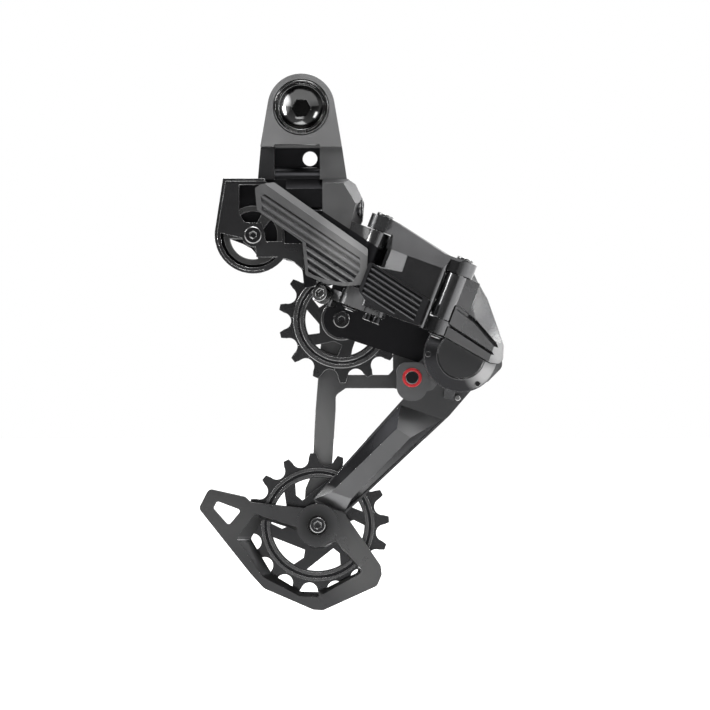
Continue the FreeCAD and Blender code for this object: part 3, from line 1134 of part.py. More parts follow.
def chain_pulley(x, z, teeth, phase, rim_in, windows):
    pitch_r = pitch_radius(teeth)
    root_r = pitch_r - SEAT_DEPTH
    y = PULLEY_Y
    narrow = toothed_disc(x, z, teeth, phase, NARROW_HALF)
    wide = toothed_disc(x, z, teeth, phase, WIDE_HALF)
    step = 360.0 / teeth
    sectors = []
    for i in range(0, teeth, 2):
        middle = phase + step * i
        far = pitch_r + 10
        left = polar(x, z, far, middle - 0.36 * step)
        right = polar(x, z, far, middle + 0.36 * step)
        sectors.append(plate([(x, z), left, right], y - 3, y + 3))
    wide = wide.common(Part.makeCompound(sectors))
    rim_out = root_r - 1.2
    groove_r = (rim_in + rim_out) / 2
    shape = joined([narrow, wide, disc(x, z, rim_out, y - WEB_HALF, y + WEB_HALF),
                    ring(x, z, rim_out, rim_in, y - RIM_HALF, y + RIM_HALF),
                    disc(x, z, HUB_R, y - HUB_HALF, y + HUB_HALF)])
    shape = shape.cut(ring(x, z, groove_r + RIM_GROOVE / 2, groove_r - RIM_GROOVE / 2,
                           y - RIM_HALF - 1, y - RIM_HALF + RIM_GROOVE_T))
    shape = shape.cut(ring(x, z, groove_r + RIM_GROOVE / 2, groove_r - RIM_GROOVE / 2,
                           y + RIM_HALF - RIM_GROOVE_T, y + RIM_HALF + 1))
    for i in range(WINDOWS):
        turned = [(r, degrees + 360 / WINDOWS * i) for r, degrees in windows]
        shape = shape.cut(swirl_window(x, z, turned, y - 5, y + 5))
    return shape.cut(disc(x, z, BEARING_R + SEAT, y - 9, y + 9)).removeSplitter()


def bearing_outer(x, z):
    y = PULLEY_Y
    race = ring(x, z, BEARING_R, BEARING_R - RACE_WALL, y - 2.5, y + 2.5)
    track_r = (BEARING_R - RACE_WALL + SLEEVE_R) / 2
    track = Part.makeTorus(track_r, BALL_R + RUN, Vector(x, y, z), Vector(0, 1, 0))
    return race.cut(track)


def bearing_balls(x, z):
    path = (BEARING_R - RACE_WALL + SLEEVE_R) / 2
    r = (BEARING_R - RACE_WALL - SLEEVE_R) / 2 - 0.03
    balls = []
    for i in range(BALL_COUNT):
        bx, bz = polar(x, z, path, 360 / BALL_COUNT * i)
        balls.append(Part.makeSphere(r, Vector(bx, PULLEY_Y, bz)))
    return Part.makeCompound(balls)


def bearing_shields(x, z):
    y = PULLEY_Y
    far = 2.5 + SHIELD_T
    return Part.makeCompound([ring(x, z, BEARING_R, SLEEVE_R + 0.2, y - far, y - 2.5),
                              ring(x, z, BEARING_R, SLEEVE_R + 0.2, y + 2.5, y + far)])


# ---------------------------------------------------------------- all nodes
def shift_spring():
    """Return spring round the outboard upper pin, in the space above its barrel."""
    radius = PIN_R + SPRING_WIRE_R + SPRING_CLEAR
    shape = coil(radius, SPRING_WIRE_R, SPRING_PITCH, SPRING_TURNS * SPRING_PITCH)
    shape.translate(Vector(B_OUTER[0], B_OUTER[1], spring_foot()))
    return tilted(shape)


def upper_nodes():
    return {
        "b_knuckle": b_knuckle(),
        "mount_bolt": mount_bolt(),
        "mount_washer": mount_washer(),
        "mount_bushing": mount_bushing(),
        "b_skid_plate": b_skid_plate(),
        "skid_plate_screws": skid_plate_screws(),
        "cable_pulley_guard": cable_pulley_guard(),
        "cable_pulley": cable_pulley(),
        "cable_pulley_bush": cable_pulley_bush(),
        "cable_pulley_bolt": cable_pulley_bolt(),
        "housing_stop": housing_stop(),
        "pin_b_outer": linkage_pin(B_OUTER, OUTER_B_TOP, OUTER_B_FOOT),
        "pin_b_inner": linkage_pin(B_INNER, INNER_TOP, INNER_BOTTOM),
        "shift_spring": shift_spring(),
        "pin_b_clips": pin_clips([(B_OUTER, OUTER_B_FOOT), (B_INNER, INNER_BOTTOM)]),
        "outer_link": outer_link(),
        "outer_link_bushes": outer_link_bushes(),
        "link_skid_plate": link_skid_plate(),
        "link_skid_screws": link_skid_screws(),
        "cable_anchor_bolt": cable_anchor_bolt(),
        "cable_anchor_washer": cable_anchor_washer(),
        "limit_screw_high": limit_screw(LIMIT_S[0]),
        "limit_screw_low": limit_screw(LIMIT_S[1]),
        "inner_link": inner_link(),
        "inner_link_bushes": inner_link_bushes(),
        "pin_p_outer": linkage_pin(P_OUTER, OUTER_P_TOP, OUTER_P_FOOT),
        "pin_p_inner": linkage_pin(P_INNER, INNER_TOP, INNER_BOTTOM),
        "pin_p_clips": pin_clips([(P_OUTER, OUTER_P_FOOT), (P_INNER, INNER_BOTTOM)]),
    }


def lower_nodes():
    return {
        "p_knuckle": p_knuckle(),
        "clutch_cover": clutch_cover(),
        "clutch_cover_screws": clutch_cover_screws(),
        "cage_bush": cage_bush(),
        "cage_spring": cage_spring(),
        "roller_clutch": roller_clutch(),
        "clutch_band": clutch_band(),
        "clutch_screw": clutch_screw(),
        "lock_button": lock_button(),
        "lock_button_ring": lock_button_ring(),
        "lock_button_spring": lock_button_spring(),
        "cage_outer_plate": cage_outer_plate(),
        "cage_inner_plate": cage_inner_plate(),
        "cage_axle": cage_axle(),
        "cage_axle_screw": cage_axle_screw(),
        "upper_pulley_bolt": pulley_bolt(UPPER_X, UPPER_Z, PLATE_Y0, 4.2),
        "lower_pulley_bolt": pulley_bolt(LOWER_X, LOWER_Z, FRAME_Y + LOWER_RECESS, LOWER_RECESS_R - 0.8),
        "upper_pulley_sleeve": pulley_sleeve(UPPER_X, UPPER_Z),
        "lower_pulley_sleeve": pulley_sleeve(LOWER_X, LOWER_Z),
        "cage_standoff": cage_standoff(),
        "cage_standoff_screw": cage_standoff_screw(),
        "cage_stop_pin": cage_stop_pin(),
        "upper_pulley": chain_pulley(UPPER_X, UPPER_Z, UPPER_TEETH, 14.0, UPPER_RIM_IN, UPPER_WINDOW),
        "upper_bearing_outer": bearing_outer(UPPER_X, UPPER_Z),
        "upper_bearing_balls": bearing_balls(UPPER_X, UPPER_Z),
        "upper_bearing_shields": bearing_shields(UPPER_X, UPPER_Z),
        "lower_pulley": chain_pulley(LOWER_X, LOWER_Z, LOWER_TEETH, 4.0, LOWER_RIM_IN, LOWER_WINDOW),
        "lower_bearing_outer": bearing_outer(LOWER_X, LOWER_Z),
        "lower_bearing_balls": bearing_balls(LOWER_X, LOWER_Z),
        "lower_bearing_shields": bearing_shields(LOWER_X, LOWER_Z),
    }


def all_nodes():
    hung = lower_nodes()
    for shape in hung.values():
        shape.translate(lower_move())
    return {**upper_nodes(), **hung}


os.makedirs("parts", exist_ok=True)
for name, shape in all_nodes().items():
    shape.exportStep("parts/" + name + ".step")
    print(name, len(shape.Solids), round(shape.Volume, 1), shape.isValid())
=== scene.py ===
"""Finishes of a clutched rear derailleur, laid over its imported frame.

Metres. X points forward, Y inboard (towards the wheel), Z up. Every piece sits where its CAD node
is: forgings and plates are welded copies with eased edges, so that each edge catches the light.
"""
import bmesh
import bpy
import json
import math
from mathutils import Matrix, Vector


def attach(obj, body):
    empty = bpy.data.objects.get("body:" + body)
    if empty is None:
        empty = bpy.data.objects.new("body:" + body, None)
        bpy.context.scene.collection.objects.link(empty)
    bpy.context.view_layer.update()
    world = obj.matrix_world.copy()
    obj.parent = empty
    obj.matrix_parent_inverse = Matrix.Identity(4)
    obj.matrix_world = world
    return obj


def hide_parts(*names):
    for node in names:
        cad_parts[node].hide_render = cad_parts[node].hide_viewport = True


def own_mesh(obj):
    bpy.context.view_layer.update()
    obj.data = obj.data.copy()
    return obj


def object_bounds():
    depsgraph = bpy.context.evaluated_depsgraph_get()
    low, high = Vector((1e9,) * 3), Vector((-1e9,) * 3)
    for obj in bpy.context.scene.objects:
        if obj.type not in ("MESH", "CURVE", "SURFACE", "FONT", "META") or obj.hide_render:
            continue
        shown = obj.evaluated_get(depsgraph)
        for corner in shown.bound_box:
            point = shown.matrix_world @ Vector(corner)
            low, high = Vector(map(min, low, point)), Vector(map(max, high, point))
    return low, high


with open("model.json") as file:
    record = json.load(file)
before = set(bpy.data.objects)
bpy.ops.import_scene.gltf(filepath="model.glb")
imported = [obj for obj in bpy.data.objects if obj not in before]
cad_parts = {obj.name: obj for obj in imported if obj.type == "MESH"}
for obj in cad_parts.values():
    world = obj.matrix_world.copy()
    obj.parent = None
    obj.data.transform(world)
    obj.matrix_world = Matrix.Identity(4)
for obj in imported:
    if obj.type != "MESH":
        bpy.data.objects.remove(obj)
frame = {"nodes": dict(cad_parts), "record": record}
cad_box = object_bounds()
MM = 0.001
slots = {entry["node"]: entry["material_slot"] for entry in frame["record"]["subparts"]}
body_of = {node: body for body, nodes in frame["record"]["behaviour"]["bodies"].items() for node in nodes}


# ---------------------------------------------------------------- shared effects
# Noise scales per metre: the cloudiness in a blasted surface, uneven rubbing, and smears.
CLOUDY, RUBBING, SMEARS = 60.0, 170.0, 38.0
FINE_SHARE, CLOUDY_SHARE = 0.6, 0.4


def new_group(name, inputs, outputs):
    """A node group with number sockets; each input is a name and its value."""
    group = bpy.data.node_groups.new(name, "ShaderNodeTree")
    for label, value in inputs:
        socket = group.interface.new_socket(label, in_out="INPUT", socket_type="NodeSocketFloat")
        socket.default_value = value
    for label in outputs:
        group.interface.new_socket(label, in_out="OUTPUT", socket_type="NodeSocketFloat")
    entry = group.nodes.new("NodeGroupInput")
    leave = group.nodes.new("NodeGroupOutput")
    return group, entry, leave


def link(tree, start, end):
    tree.links.new(start, end)


def sum_of(tree, operation, first, second):
    """A Math node; each side is a socket or a number."""
    node = tree.nodes.new("ShaderNodeMath")
    node.operation = operation
    for socket, side in zip(node.inputs, (first, second)):
        if isinstance(side, bpy.types.NodeSocket):
            link(tree, side, socket)
        else:
            socket.default_value = side
    return node.outputs[0]


def noise(tree, scale, detail, roughness):
    """Noise fixed to the piece; the scale is a socket or a number."""
    node = tree.nodes.new("ShaderNodeTexNoise")
    where = tree.nodes.new("ShaderNodeTexCoord")
    link(tree, where.outputs["Object"], node.inputs["Vector"])
    if isinstance(scale, bpy.types.NodeSocket):
        link(tree, scale, node.inputs["Scale"])
    else:
        node.inputs["Scale"].default_value = scale
    node.inputs["Detail"].default_value = detail
    node.inputs["Roughness"].default_value = roughness
    return node.outputs["Fac"]


def ranged(tree, value, low, high, to_low, to_high):
    """A value moved from one range to another, and held at its ends."""
    node = tree.nodes.new("ShaderNodeMapRange")
    link(tree, value, node.inputs["Value"])
    for label, number in (("From Min", low), ("From Max", high), ("To Min", to_low), ("To Max", to_high)):
        node.inputs[label].default_value = number
    return node.outputs["Result"]


def blasted_grain():
    """The fine tooth of a blasted and anodised surface: a tone, and a height for the bump."""
    group, entry, leave = new_group("blasted_grain", [("Scale", 5000.0)], ["Tone", "Height"])
    fine = noise(group, entry.outputs["Scale"], 2.0, 0.6)
    cloudy = noise(group, CLOUDY, 3.0, 0.5)
    fine_part = sum_of(group, "MULTIPLY", fine, FINE_SHARE)
    cloudy_part = sum_of(group, "MULTIPLY", cloudy, CLOUDY_SHARE)
    link(group, sum_of(group, "ADD", fine_part, cloudy_part), leave.inputs["Tone"])
    link(group, fine, leave.inputs["Height"])
    return group


def worn_edges():
    """How far an eased edge is rubbed bright: nothing on the faces, uneven along the edges."""
    group, entry, leave = new_group("worn_edges", [("Amount", 1.0)], ["Mask"])
    edge = group.nodes.new("ShaderNodeAttribute")
    edge.attribute_name = "eased"
    rub = ranged(group, noise(group, RUBBING, 3.0, 0.6), 0.3, 0.62, 0.35, 1.0)
    rubbed = sum_of(group, "MULTIPLY", edge.outputs["Fac"], rub)
    mask = sum_of(group, "MULTIPLY", rubbed, entry.outputs["Amount"])
    link(group, mask, leave.inputs["Mask"])
    return group


def handling_marks():
    """Faint smears and hairline scuffs that change the gloss."""
    group, entry, leave = new_group("handling_marks", [("Amount", 1.0)], ["Gloss"])
    smear = ranged(group, noise(group, SMEARS, 4.0, 0.55), 0.35, 0.7, -1.0, 1.0)
    link(group, sum_of(group, "MULTIPLY", smear, entry.outputs["Amount"]), leave.inputs["Gloss"])
    return group


GRAIN = blasted_grain()
WEAR = worn_edges()
MARKS = handling_marks()


def placed(tree, group, **values):
    """A shared effect placed in a material, with its own values."""
    node = tree.nodes.new("ShaderNodeGroup")
    node.node_tree = group
    for label, value in values.items():
        node.inputs[label].default_value = value
    return node


def blend_colours(tree, factor, first, second):
    """The first colour where the factor is nothing, the second where it is one; socket or numbers."""
    node = tree.nodes.new("ShaderNodeMix")
    node.data_type = "RGBA"
    link(tree, factor, node.inputs["Factor"])
    for label, side in (("A", first), ("B", second)):
        socket = [s for s in node.inputs if s.name == label and s.type == "RGBA"][0]
        if isinstance(side, bpy.types.NodeSocket):
            link(tree, side, socket)
        else:
            socket.default_value = (*side, 1.0)
    return [s for s in node.outputs if s.type == "RGBA"][0]


PATCH_CORE = 0.35       # the share of a patch's reach within which it is whole
RUB_SHINE = 0.3         # the share of its roughness that a rubbed edge loses
TOOTH_STRENGTH = 0.35


def near(tree, point, reach):
    """One at a point, falling off to nothing at an ellipsoid round it; both are in millimetres."""
    where = tree.nodes.new("ShaderNodeTexCoord")
    shift = tree.nodes.new("ShaderNodeVectorMath")
    shift.operation = "SUBTRACT"
    link(tree, where.outputs["Object"], shift.inputs[0])
    shift.inputs[1].default_value = Vector(point) * MM
    share = tree.nodes.new("ShaderNodeVectorMath")
    share.operation = "DIVIDE"
    link(tree, shift.outputs[0], share.inputs[0])
    share.inputs[1].default_value = Vector(reach) * MM
    away = tree.nodes.new("ShaderNodeVectorMath")
    away.operation = "LENGTH"
    link(tree, share.outputs[0], away.inputs[0])
    return ranged(tree, away.outputs["Value"], PATCH_CORE, 1.0, 1.0, 0.0)


def finish_of(name, colour, edge=None, metallic=0.7, gloss=0.4, grain=5000.0, tooth=0.02, wear=1.0,
              spread=0.12, smear=0.05, painted_light_and_shade=()):
    """A satin finish: a toned base, bright rubbed edges, grain in the gloss and in the bump.

    Each spot of painted light or painted shade is a point, how far it reaches each way, and the tone
    painted there.
    """
    material = bpy.data.materials.new(name)
    material.use_nodes = True
    tree = material.node_tree
    surface = tree.nodes["Principled BSDF"]
    surface.inputs["Metallic"].default_value = metallic
    grained = placed(tree, GRAIN, Scale=grain)
    low = tuple(c * (1 - spread) for c in colour)
    high = tuple(c * (1 + spread) for c in colour)
    base = blend_colours(tree, ranged(tree, grained.outputs["Tone"], 0.3, 0.7, 0.0, 1.0), low, high)
    # Spots of painted highlight and painted shade, blended over the base colour.
    for point, reach, tone in painted_light_and_shade:
        base = blend_colours(tree, near(tree, point, reach), base, (tone, tone, tone))
    worn = placed(tree, WEAR, Amount=wear)
    base = blend_colours(tree, worn.outputs["Mask"], base, edge or colour)
    link(tree, base, surface.inputs["Base Color"])
    marks = placed(tree, MARKS, Amount=smear)
    rough = sum_of(tree, "ADD", marks.outputs["Gloss"], gloss)
    shine = sum_of(tree, "MULTIPLY", worn.outputs["Mask"], gloss * RUB_SHINE)
    rough = sum_of(tree, "SUBTRACT", rough, shine)
    link(tree, rough, surface.inputs["Roughness"])
    bump = tree.nodes.new("ShaderNodeBump")
    bump.inputs["Strength"].default_value = TOOTH_STRENGTH
    bump.inputs["Distance"].default_value = tooth * MM
    link(tree, grained.outputs["Height"], bump.inputs["Height"])
    link(tree, bump.outputs["Normal"], surface.inputs["Normal"])
    return material


FINISHES = {
    "forged_grey": finish_of("satin_forging", (0.135, 0.135, 0.136), (0.60, 0.60, 0.60), 0.8, 0.40),
    # The lower knuckle's dark forging, with painted highlights on the hood's nose, face and lower right.
    "dark_satin": finish_of("dark_forging_painted_highlights", (0.075, 0.075, 0.077), (0.55, 0.55, 0.55), 0.9, 0.28,
                            spread=0.07, painted_light_and_shade=[
                                ((95, -36, -117), (7, 18, 13), 0.18), ((82, -36, -92), (13, 20, 13), 0.12),
                                ((91, -32, -129), (9, 20, 8), 0.17)]),
    # The cage's dark anodise, with painted light in three broad spots and painted shade round the lower
    # pulley's hub.
    "cage_grey": finish_of("cage_anodise_painted_light_and_shade", (0.040, 0.040, 0.041), (0.45, 0.45, 0.45), 0.9, 0.32,
                           spread=0.07, painted_light_and_shade=[
                               ((30, 8, -222), (22, 30, 26), 0.070), ((8, 24, -168), (14, 12, 34), 0.085),
                               ((-44, 8, -200), (30, 30, 22), 0.055), ((7, 8, -203), (10, 20, 10), 0.014)]),
    "plate_black": finish_of("black_plate", (0.075, 0.075, 0.076), (0.28, 0.28, 0.28), 0.8, 0.38),
    # The fluted skid plate, with a broad painted highlight on its upper part.
    "skid_polymer": finish_of("fluted_composite", (0.074, 0.074, 0.075), (0.60, 0.60, 0.60), 0.6, 0.34,
                              painted_light_and_shade=[((20, -14, -72), (18, 40, 22), 0.15)]),
    "roller_polymer": finish_of("black_nylon", (0.012, 0.012, 0.012), (0.12, 0.12, 0.12), 0.0, 0.32),
    "pulley_black": finish_of("pulley_anodise", (0.028, 0.028, 0.029), (0.22, 0.22, 0.22), 0.9, 0.30,
                              spread=0.07, wear=0.6),
    "steel": finish_of("dark_steel", (0.13, 0.13, 0.13), (0.40, 0.40, 0.40), 1.0, 0.28),
    "black_bolt": finish_of("black_oxide", (0.020, 0.020, 0.021), (0.28, 0.28, 0.28), 0.9, 0.26),
    "bronze": finish_of("sintered_bronze", (0.20, 0.14, 0.08), (0.4, 0.3, 0.18), 0.9, 0.40),
    "red_ring": finish_of("red_anodise", (0.33, 0.008, 0.014), (0.5, 0.04, 0.04), 0.4, 0.34),
    "seal": finish_of("seal_rubber", (0.018, 0.018, 0.018), (0.05, 0.05, 0.05), 0.0, 0.60),
}
# Finishes of a piece or of a place on one, where they differ from the rest of its slot. Most are painted
# light or painted shade: lighter or darker copies of a slot's finish where light or shade falls, some with
# painted highlights.
# Near black: painted shade in the knuckle's recesses, the pulleys' grooves, the cage's upper arm and the
# inner link, and the black of small parts.
BLACK_AND_PAINTED_SHADE = finish_of("black_forging_and_painted_shade", (0.010, 0.010, 0.011), (0.24, 0.24, 0.24), 0.9, 0.34)
# The upper knuckle's body below the clevis: painted shade, darker than the clevis where less light falls.
BODY = finish_of("body_forging_painted_shade", (0.088, 0.088, 0.089), (0.55, 0.55, 0.55), 0.9, 0.36, spread=0.07)
SHADE = finish_of("shaded_anodise", (0.030, 0.030, 0.031), (0.42, 0.42, 0.42), 0.9, 0.34, spread=0.07)
# The cage arm's flanks: painted shade, with a painted highlight at the arm's lower end.
FLANK_PAINTED_SHADE_AND_HIGHLIGHT = finish_of("flank_painted_shade_and_highlight", (0.007, 0.007, 0.008), (0.95, 0.95, 0.95), 0.9, 0.26, spread=0.05,
                        painted_light_and_shade=[((12, 6, -192), (8, 16, 9), 0.45)])
# The cage arm's neck and foot: painted light on faces that render dark.
NECK = finish_of("arm_neck_painted_light", (0.120, 0.120, 0.122), (0.65, 0.65, 0.65), 0.9, 0.32, spread=0.05)
# The clutch cover's cone: painted shade, with a painted highlight at its lower right.
CONE_PAINTED_SHADE_AND_HIGHLIGHT = finish_of("cover_cone_painted_shade_and_highlight", (0.013, 0.013, 0.014), (0.40, 0.40, 0.40), 0.9, 0.30,
                 painted_light_and_shade=[((90, -32, -130), (12, 20, 11), 0.20)])
# The cage's block by the lock boss: painted shade.
BLOCK_PAINTED_SHADE = finish_of("block_painted_shade", (0.048, 0.048, 0.049), (0.55, 0.55, 0.55), 0.9, 0.34, spread=0.07)
# The lock boss's outboard face: painted light.
BOSS_PAINTED_LIGHT = finish_of("boss_painted_light", (0.085, 0.085, 0.087), (0.65, 0.65, 0.65), 0.9, 0.34, spread=0.07)
# The inner cage plate: painted shade over the plate, and painted light on its column.
INNER_PLATE_PAINTED_LIGHT_AND_SHADE = finish_of("inner_plate_painted_light_and_shade", (0.052, 0.052, 0.053), (0.28, 0.28, 0.28), 0.8, 0.38,
                        painted_light_and_shade=[((8, 24, -160), (14, 12, 30), 0.100)])
# The raised face of the cage arm: painted light.
ARM_FACE_PAINTED_LIGHT = finish_of("arm_face_painted_light", (0.105, 0.105, 0.107), (0.65, 0.65, 0.65), 0.9, 0.32, spread=0.05)
# Facets on the hood and the outer link that face the light: painted light.
HOOD_FACET_PAINTED_LIGHT = finish_of("hood_facet_painted_light", (0.125, 0.125, 0.127), (0.60, 0.60, 0.60), 0.9, 0.30, spread=0.05)
# The outer link: painted light on its top, which tilts up toward the light.
LINK = finish_of("satin_link_top_painted_light", (0.088, 0.088, 0.090), (0.60, 0.60, 0.60), 0.9, 0.26, spread=0.05,
                 tooth=0.006)
# The outer link's front face: painted shade.
LINK_FACE_PAINTED_SHADE = finish_of("satin_link_face_painted_shade", (0.034, 0.034, 0.035), (0.60, 0.60, 0.60), 0.9, 0.26, spread=0.05,
                      tooth=0.006)
# A facet at the outer link's end: painted highlight.
LINK_END_PAINTED_HIGHLIGHT = finish_of("satin_link_end_painted_highlight", (0.34, 0.34, 0.345), (0.60, 0.60, 0.60), 0.9, 0.26, spread=0.05,
                     tooth=0.006)
GUARD = finish_of("guard_black", (0.026, 0.026, 0.027), (0.75, 0.75, 0.75), 0.8, 0.30)
# Flute flanks that face up: painted light.
FLUTE_PAINTED_LIGHT = finish_of("flute_painted_light", (0.190, 0.190, 0.192), (0.60, 0.60, 0.60), 0.7, 0.30, spread=0.07)
# Lands on the pulleys' rims: painted light.
PULLEY_LAND_PAINTED_LIGHT = finish_of("pulley_land_painted_light", (0.056, 0.056, 0.057), (0.30, 0.30, 0.30), 0.9, 0.28, spread=0.07)
# The link skid plate's dark composite, and painted shade on flute flanks that face down.
DARK_SKID_AND_PAINTED_SHADE = finish_of("dark_fluted_composite_and_painted_shade", (0.018, 0.018, 0.019), (0.17, 0.17, 0.17), 0.8, 0.32)
# The pin barrels, glossy: painted light, with a painted highlight stripe on the upper knuckle's barrel.
GLOSSY_BARREL_PAINTED_HIGHLIGHT = finish_of("glossy_barrel_painted_highlight", (0.110, 0.110, 0.112), (0.60, 0.60, 0.60), 0.95, 0.18, tooth=0.006,
                   painted_light_and_shade=[((31.8, -12, -62), (2.2, 60, 9), 0.60)])
# The polished mount bolt, with a painted highlight crescent in its dish.
POLISHED_BOLT_PAINTED_HIGHLIGHT = finish_of("polished_bolt_painted_highlight", (0.050, 0.050, 0.050), (0.34, 0.34, 0.34), 1.0, 0.12, tooth=0.003,
                     spread=0.05, smear=0.03, painted_light_and_shade=[((-8.5, -16, 2), (4.5, 12, 6.5), 0.65)])
# Own finishes of pieces, several with painted light or painted shade: the inner link and the shift spring
# are in painted shade.
OWN_FINISH = {
    "inner_link": BLACK_AND_PAINTED_SHADE, "outer_link": LINK, "mount_bolt": POLISHED_BOLT_PAINTED_HIGHLIGHT, "cable_pulley_guard": GUARD,
    "link_skid_plate": DARK_SKID_AND_PAINTED_SHADE, "cage_spring": FINISHES["black_bolt"], "shift_spring": BLACK_AND_PAINTED_SHADE,
    "clutch_cover": CONE_PAINTED_SHADE_AND_HIGHLIGHT, "pin_b_clips": BLACK_AND_PAINTED_SHADE, "pin_p_clips": BLACK_AND_PAINTED_SHADE, "housing_stop": BLACK_AND_PAINTED_SHADE,
    "lock_button": BLACK_AND_PAINTED_SHADE, "cage_inner_plate": INNER_PLATE_PAINTED_LIGHT_AND_SHADE,
}
# The way that the outer link's face looks.
LINK_FRONT = [m["axis"] for m in frame["record"]["mounts"] if m["name"] == "cable_anchor"][0]


def inside(low, high):
    """A test of whether a face's middle lies in a box, given in millimetres."""
    low, high = Vector(low) * MM, Vector(high) * MM
    return lambda face: all(low[i] <= face.calc_center_median()[i] <= high[i] for i in range(3))


def looking(direction, least, most=1.1):
    """A test of how nearly a face looks in a direction: the cosine between them."""
    direction = Vector(direction).normalized()
    return lambda face: least < face.normal.dot(direction) < most


def left_of(x0, z0, x1, z1, sign=1):
    """A test of whether a face's middle is left of a line, seen from the outboard side."""
    return lambda face: sign * ((x1 - x0) * (face.calc_center_median().z / MM - z0)
                                - (z1 - z0) * (face.calc_center_median().x / MM - x0)) > 0


def right_of(*line):
    """A test of whether a face's middle is right of a line."""
    return left_of(*line, sign=-1)


def level(low, high):
    """A test of whether a face lies at a depth from the middle of the knuckles, in millimetres."""
    return lambda face: low < face.calc_center_median().y / MM < high


def narrow(area):
    """A test of whether a face is smaller than an area in square millimetres."""
    return lambda face: face.calc_area() < area * MM * MM


ALL = 400.0
OUTBOARD, INBOARD = (0, -1, 0), (0, 1, 0)
# The arm of the cage's outer plate, and the ways that its flanks, neck and foot look.
ARM = inside((2, -ALL, -201), (72, 12.3, -144))
LEFT_FLANK, RIGHT_FLANK = (-0.52, -0.70, 0.48), (0.58, -0.52, -0.62)
NECK_WAY, FOOT_WAY = (0.14, -0.91, 0.40), (-0.24, -0.80, -0.55)
# Lines on the outboard side, in millimetres.
HOOD_SEAM_HIGH = (74.9, -96.4, 94.8, -115.9)
HOOD_SEAM_LOW = (70.8, -106.2, 92.3, -119.2)
BODY_SHADE = (34, -66, 42.3, -71.5)
# The two ways that the flanks of the skid plate's flutes look, and the most area that one has.
FLUTE_UP, FLUTE_DOWN = (0.45, -0.66, 0.60), (-0.45, -0.66, -0.60)
FLANK_AREA = 60
# Depths of the lands on the pulleys' rims and hubs, and of the groove between two lands.
RIM_LEVEL, GROOVE_LEVEL = (16.2, 16.8), (17.3, 17.6)
LINK_CUT = (51.1, -72.8, 48.9, -79.4)
LINK_CUT_LOW = (42.0, -78.8, 49.0, -80.2)
